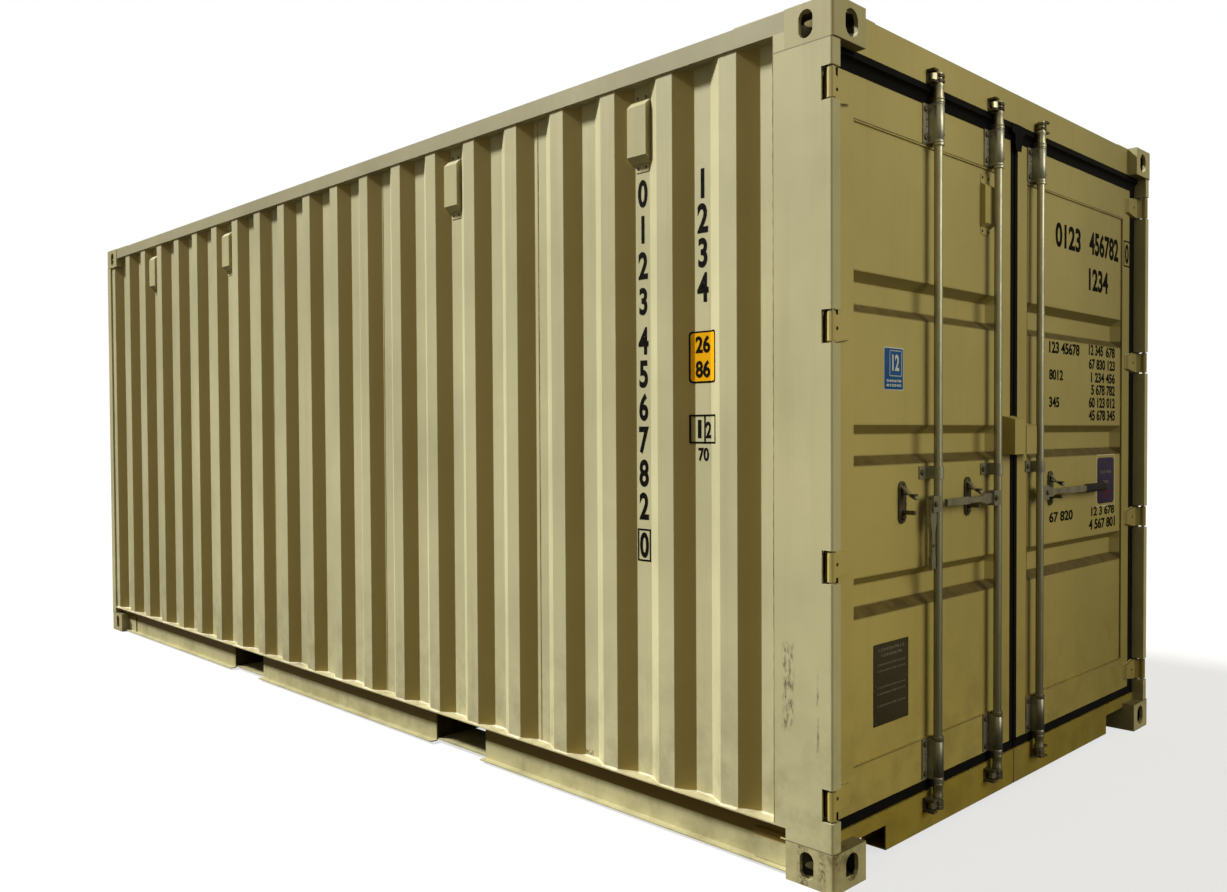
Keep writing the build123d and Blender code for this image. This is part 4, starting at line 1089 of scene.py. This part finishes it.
@dataclass
class Markings(Group):
    """Plain numbers, signs and label plates."""

    narrow: float = 0.74
    flat: float = 0.035
    slope: tuple[float, float] = (0.068, 0.036)
    sign_mid: float = 0.007
    long_x: float = 2.203
    short_x: float = 2.481
    plate_at: tuple[float, float] = (-0.825, 0.5475)
    blue_at: tuple[float, float] = (-0.811, 1.543)
    violet_at: tuple[float, float] = (0.880, 1.127)

    def number(self, text: str, height: float, width: float = 0.0) -> Form:
        """One line of digits as a thin flat shape, its lower left corner at the origin.

        Args:
            text: the digits.
            height: height of a digit in metres.
            width: width of the whole line, or 0 for the digits' own narrow width.

        Returns:
            Points with x to the right, y up and z out.
        """
        line = bpy.data.curves.new("digits", "FONT")
        line.body = text
        line.size = 1.0
        line.extrude = 0.0003
        line.offset = 0.03
        holder = placed("digits", line)
        bpy.context.view_layer.update()
        mesh = bpy.data.meshes.new_from_object(holder.evaluated_get(bpy.context.evaluated_depsgraph_get()))
        points = np.zeros(len(mesh.vertices) * 3)
        mesh.vertices.foreach_get("co", points)
        points = points.reshape(-1, 3)
        low, high = points.min(0), points.max(0)
        size = height / (high[1] - low[1])
        across = width / (high[0] - low[0]) if width else size * self.narrow
        points = (points - low) * np.array([across, size, 1.0])
        groups: dict[int, list[tuple[int, ...]]] = {}
        for face in mesh.polygons:
            groups.setdefault(len(face.vertices), []).append(tuple(face.vertices))
        bpy.data.objects.remove(holder)
        bpy.data.meshes.remove(mesh)
        return Form(points, tuple(np.array(g) for g in groups.values()))

    def put(self, name: str, forms: Iterable[Form], finish: Material, facing: Facing, origin: Triple,
            body: str = "container") -> None:
        """Places flat marks on a face of the object, as one piece."""
        form = Form.joined(forms)
        points = form.points @ np.array(facing.value, float) + np.array(origin)
        self.shop.piece(name, Form(points, form.faces), finish, body)

    def column(self, text: str, top: float, step: float, height: float) -> list[Form]:
        """Digits one under another from the top, each centred on x."""
        forms = []
        for row, digit in enumerate(text):
            glyph = self.number(digit, height)
            forms.append(glyph.at([(-glyph.points[:, 0].max() / 2, top - height - row * step, 0)]))
        return forms

    def lines(self, rows: Iterable[tuple[str, float, float, float, float]], out: float = 0.0) -> list[Form]:
        """Lines of digits.

        Args:
            rows: text, height, x and y of the lower left corner, and width of each line.
            out: how far the digits stand in front of the origin.

        Returns:
            One shape for each line.
        """
        return [self.number(text, high, wide).at([(x, y, out)]) for text, high, x, y, wide in rows]

    def wrapped(self, left: float, right: float, low: float, high: float, radius: float, lift: float,
                thick: float) -> Form:
        """Thin rounded sheet that follows the fold of the wall: level across the recess, then rising
        along the slope on each side, its corners quarter circles.

        Args:
            left, right: edges measured from the middle of the recess.
            low, high: lower and upper edge.
            radius: corner radius.
            lift: height of its back over the wall.
            thick: its thickness.

        Returns:
            Points with x to the right, y up and z out of the recess.
        """
        x = np.linspace(left, right, 73)
        past = np.clip(np.maximum(left + radius - x, x - right + radius), 0, radius)
        drop = radius - np.sqrt(np.maximum(radius ** 2 - past ** 2, 0))
        rise = np.clip(np.abs(x) - self.flat, 0, self.slope[0]) * self.slope[1] / self.slope[0] + lift
        bottom, top = low + drop, np.maximum(high - drop, low + drop + 1e-5)
        corners = ((bottom, rise), (top, rise), (top, rise + thick), (bottom, rise + thick))
        return rings(np.stack([np.stack([x, y, z], -1) for y, z in corners], 1))

    def wrapped_box(self, left: float, right: float, low: float, high: float, line: float) -> list[Form]:
        """Box drawn with four bars and an upright in the middle, following the fold of the wall."""
        middle = (left + right) / 2
        spans = ((left, right, low, low + line), (left, right, high - line, high),
                 (left, left + line, low, high), (right - line, right, low, high),
                 (middle - line / 2, middle + line / 2, low, high))
        return [self.wrapped(*span, 0.0006, 0.0001, 0.0006) for span in spans]

    def side(self, facing: Facing, word: str) -> None:
        """Numbers and signs on one side wall."""
        black, yellow = self.finishes.black, self.finishes.yellow
        way = facing.value[2][1]  # the side of Y that it faces
        wall = way * (RECESS_Y + 0.0002)
        mid = -way * self.sign_mid
        box = [frame_lines(0.064, 0.112, 0.006)]
        edge = [self.wrapped(mid - 0.061, mid + 0.061, 1.5045, 1.6735, 0.012, 0.0001, 0.0006)]
        sign = [self.wrapped(mid - 0.055, mid + 0.055, 1.5105, 1.6675, 0.009, 0.0004, 0.0008)]
        sign_rows = (("26", 0.056, -0.032, 1.602, 0.064), ("86", 0.056, -0.032, 1.522, 0.064))
        small_rows = (("1", 0.060, -0.024, 1.325, 0.015), ("2", 0.054, 0.011, 1.325, 0.024),
                      ("70", 0.044, -0.022, 1.250, 0.046))
        marks = (("long_numbers", self.column("0123", 2.208, 0.1225, 0.094), black, self.long_x, 0),
                 ("serial_numbers", self.column("456782", 1.705, 0.1135, 0.094), black, self.long_x, 0),
                 ("last_number", self.column("0", 1.000, 0.1, 0.088), black, self.long_x, 0),
                 ("number_box", box, black, self.long_x, 0.956),
                 ("size_numbers", self.column("1234", 2.199, 0.112, 0.096), black, self.short_x, 0),
                 ("sign_edge", edge, black, self.short_x, 0),
                 ("sign", sign, yellow, self.short_x, 0),
                 ("sign_numbers", self.lines(sign_rows, 0.0014), black, self.short_x, 0),
                 ("small_box", self.wrapped_box(mid - 0.061, mid + 0.061, 1.3075, 1.402, 0.006), black,
                  self.short_x, 0),
                 ("small_numbers", self.lines(small_rows), black, self.short_x, 0))
        for part, forms, finish, x, z in marks:
            self.put(f"{word}_{part}", forms, finish, facing, (x, wall, z))

    def doors(self) -> None:
        """Numbers on the right leaf."""
        black = self.finishes.black
        rows = (("0123", 0.098, 0.371, 2.079, 0.239), ("456782", 0.100, 0.699, 2.085, 0.310),
                ("1234", 0.094, 0.695, 1.934, 0.202), ("12 345", 0.045, 0.698, 1.662, 0.148),
                ("678", 0.045, 0.878, 1.660, 0.097), ("67 830 123", 0.045, 0.699, 1.603, 0.277),
                ("1 234 456", 0.043, 0.721, 1.548, 0.256), ("5 678 782", 0.045, 0.724, 1.494, 0.253),
                ("60 123 012", 0.045, 0.700, 1.440, 0.278), ("45 678 345", 0.046, 0.701, 1.385, 0.278),
                ("12 3 678", 0.040, 0.730, 0.978, 0.245), ("4 567 801", 0.045, 0.706, 0.921, 0.279),
                ("123 45678", 0.048, 0.316, 1.652, 0.287), ("8012", 0.042, 0.317, 1.546, 0.127),
                ("345", 0.042, 0.318, 1.437, 0.092), ("67 820", 0.042, 0.322, 0.977, 0.221))
        face, edge = PANEL_FACE + 0.0002, LEAF_FACE + 0.0002
        self.put("door_numbers", self.lines(rows), black, Facing.DOORS, (face, 0, 0), "right_door")
        boxed = self.lines((("0", 0.086, -0.020, -0.043, 0.040),)) + [frame_lines(0.072, 0.116, 0.006)]
        self.put("door_boxed_number", boxed, black, Facing.DOORS, (edge, 1.0915, 2.132), "right_door")
        self.data_plate(face)
        self.labels(face)

    def data_plate(self, face: float) -> None:
        """Data plate with plain lines of digits and rivets."""
        f = self.finishes
        y, z = self.plate_at
        small = (0.060, 0.040, -0.012, -0.032, -0.070)
        rows = (("1234567812", 0.010, -0.075, 0.104, 0.150), ("12345678", 0.010, -0.060, 0.086, 0.120),
                *(("123456781234", 0.006, -0.080, low, 0.160) for low in small))
        for part, forms, finish in (("data_plate", [board(0.202, 0.258, 0.002)], f.data_plate),
                                    ("data_plate_numbers", self.lines(rows, 0.0021), f.dull_ink)):
            self.put(part, forms, finish, Facing.DOORS, (face, y, z), "left_door")
        spots = [(face + 0.002, y + s * 0.093, z + t * 0.120) for s in (-1, 1) for t in (-1, 0, 1)]
        self.shop.piece("data_plate_rivets", bolt(0.003, 0.0025).at(spots), f.dull, "left_door", Slot.STEEL)

    def labels(self, face: float) -> None:
        """Blue and violet labels with plain digits on them."""
        f = self.finishes
        blue_rows = (("12", 0.052, -0.010, -0.006, 0.040), ("345678", 0.008, -0.043, -0.042, 0.086),
                     ("812345", 0.008, -0.043, -0.056, 0.086))
        blue_print = [frame_lines(0.070, 0.082, 0.0022).at([(0.010, 0.018, 0)])] + self.lines(blue_rows)
        pale_rows = (("123 456", 0.014, -0.060, 0.030, 0.120), ("782", 0.012, -0.030, -0.012, 0.060))
        red_rows = [("012", 0.012, -0.030, low, 0.080) for low in (-0.055, -0.075)]
        left, right = (self.blue_at, "left_door"), (self.violet_at, "right_door")
        for part, forms, finish, lift, (at, leaf) in (
                ("blue_label_edge", [board(0.114, 0.136, 0.0008)], f.white, 0.0, left),
                ("blue_label", [board(0.108, 0.130, 0.0006)], f.blue, 0.0007, left),
                ("blue_label_numbers", blue_print, f.white, 0.0014, left),
                ("violet_label_edge", [frame_lines(0.202, 0.224, 0.003)], f.white, 0.0, right),
                ("violet_label", [board(0.176, 0.198, 0.0010, 0.018)], f.violet, 0.0, right),
                ("violet_label_numbers", self.lines(pale_rows), f.dull_ink, 0.0011, right),
                ("violet_label_red_numbers", self.lines(red_rows), f.red, 0.0011, right)):
            self.put(part, forms, finish, Facing.DOORS, (face + lift, *at), leaf)

    def build(self) -> None:
        """Makes all markings."""
        self.side(Facing.LEFT, "left")
        self.side(Facing.RIGHT, "right")
        self.doors()


@dataclass
class Studio:
    """Pale floor, soft lamps and the camera at the photograph's view."""

    key: float = 5.4
    fill: float = 1.42
    ambient: float = 0.15
    sky: Triple = (-0.70, -0.25, 0.66)
    shown_floor: float = 0.7
    floor_radius: float = 60.0
    lens: float = 30.636
    sensor: float = 36.0
    shift: tuple[float, float] = (-0.0537, 0.0065)
    eye: Triple = (4.78393, -3.67929, 1.34835)
    turns: tuple[tuple[float, str], ...] = ((43.9246, "Z"), (88.7427, "X"), (-0.2337, "Z"))

    def lamp(self, name: str, towards: Triple, strength: float, spread: float, colour: Triple) -> None:
        """Adds a distant soft lamp that shines from the given direction."""
        data = bpy.data.lights.new(name, "SUN")
        data.energy = strength
        data.angle = math.radians(spread)
        data.color = colour
        direction = np.array(towards, float) / np.linalg.norm(towards)
        placed(name, data).rotation_euler = Vector(-direction).to_track_quat("-Z", "Y").to_euler()

    def build(self) -> None:
        """Makes the floor, the lamps, the world and the camera."""
        self.lamp("key_lamp", (-0.70, -0.45, 0.74), self.key, 8, (1.0, 0.99, 0.96))
        self.lamp("fill_lamp", (0.86, 0.16, 0.36), self.fill, 40, (1.0, 0.955, 0.76))
        self.world()
        self.floor()
        self.camera()

    def world(self) -> None:
        """Sky of even pale light, weaker towards the doors and white to the camera."""
        world = bpy.data.worlds.new("studio")
        sheet = NodeSheet(world)
        ray = sheet.add("ShaderNodeTexCoord").outputs["Generated"]
        dot = sheet.add("ShaderNodeVectorMath", {0: ray, 1: self.sky}, operation="DOT_PRODUCT")
        level = sheet.level(dot.outputs["Value"], -0.7, 0.9, 0.35 * self.ambient, 1.7 * self.ambient)
        path = sheet.add("ShaderNodeLightPath").outputs
        seen = sheet.calc("MAXIMUM", path["Is Camera Ray"], path["Is Transmission Ray"])
        shown = sheet.calc("MAXIMUM", seen, sheet.calc("MULTIPLY", path["Is Glossy Ray"], 0.35))
        strength = sheet.add("ShaderNodeMix", {0: shown, 2: level, 3: 1.0}, data_type="FLOAT").outputs[0]
        hue = sheet.mix(path["Is Camera Ray"], (1.0, 0.91, 0.60, 1.0), (1.0, 1.0, 1.0, 1.0))
        back = sheet.add("ShaderNodeBackground", {"Color": hue, "Strength": strength})
        sheet.add("ShaderNodeOutputWorld", {"Surface": back.outputs[0]})
        bpy.context.scene.world = world

    def floor(self) -> None:
        """Round pale floor that keeps the object's shadow."""
        angle = np.linspace(0, 2 * np.pi, 64, endpoint=False)
        points = np.stack([np.cos(angle), np.sin(angle), np.zeros(64)], -1) * self.floor_radius
        mesh = bpy.data.meshes.new("floor")
        mesh.from_pydata(points.tolist(), [], [tuple(range(64))])
        sheet = FinishSheet("pale_floor")
        seen = sheet.add("ShaderNodeLightPath").outputs["Is Camera Ray"]
        pale = sheet.mix(sheet.noise(3, 3), rgb(236, 236, 234), rgb(242, 242, 240))
        sheet.feed(sheet.shader, {"Base Color": sheet.mix(seen, rgb(50, 44, 30), pale), "Roughness": 0.9})
        glow = sheet.add("ShaderNodeEmission").outputs[0]
        share = sheet.calc("MULTIPLY", seen, self.shown_floor)
        blend = sheet.add("ShaderNodeMixShader", {0: share, 1: sheet.shader.outputs[0], 2: glow})
        sheet.feed(sheet.output, {"Surface": blend.outputs[0]})
        mesh.materials.append(sheet.material)
        floor = placed("floor", mesh)

    def camera(self) -> None:
        """Camera fitted to the photograph."""
        data = bpy.data.cameras.new("camera")
        data.lens = self.lens
        data.sensor_width = self.sensor
        data.shift_x, data.shift_y = self.shift
        data.clip_end = 200
        matrix = Matrix.Translation(self.eye)
        for degrees, axis in self.turns:
            matrix = matrix @ Matrix.Rotation(math.radians(degrees), 4, axis)
        camera = placed("camera", data)
        camera.matrix_world = matrix
        bpy.context.scene.camera = camera


def main() -> None:
    """Builds the studio and dresses the container."""
    logging.basicConfig(level=logging.INFO, format="%(message)s")
    bpy.context.scene.view_settings.view_transform = "Standard"
    finishes = Finishes()
    Studio().build()
    Carcass(finishes).dress()
    shop = Workshop()
    for group in (BarHardware, HandleHardware, HingeDetail, Seams, SealDetail, VentDetail, Markings):
        group(shop, finishes).build()
    log.info("%d pieces made", len(shop.made))


if __name__ == "__main__":
    main()
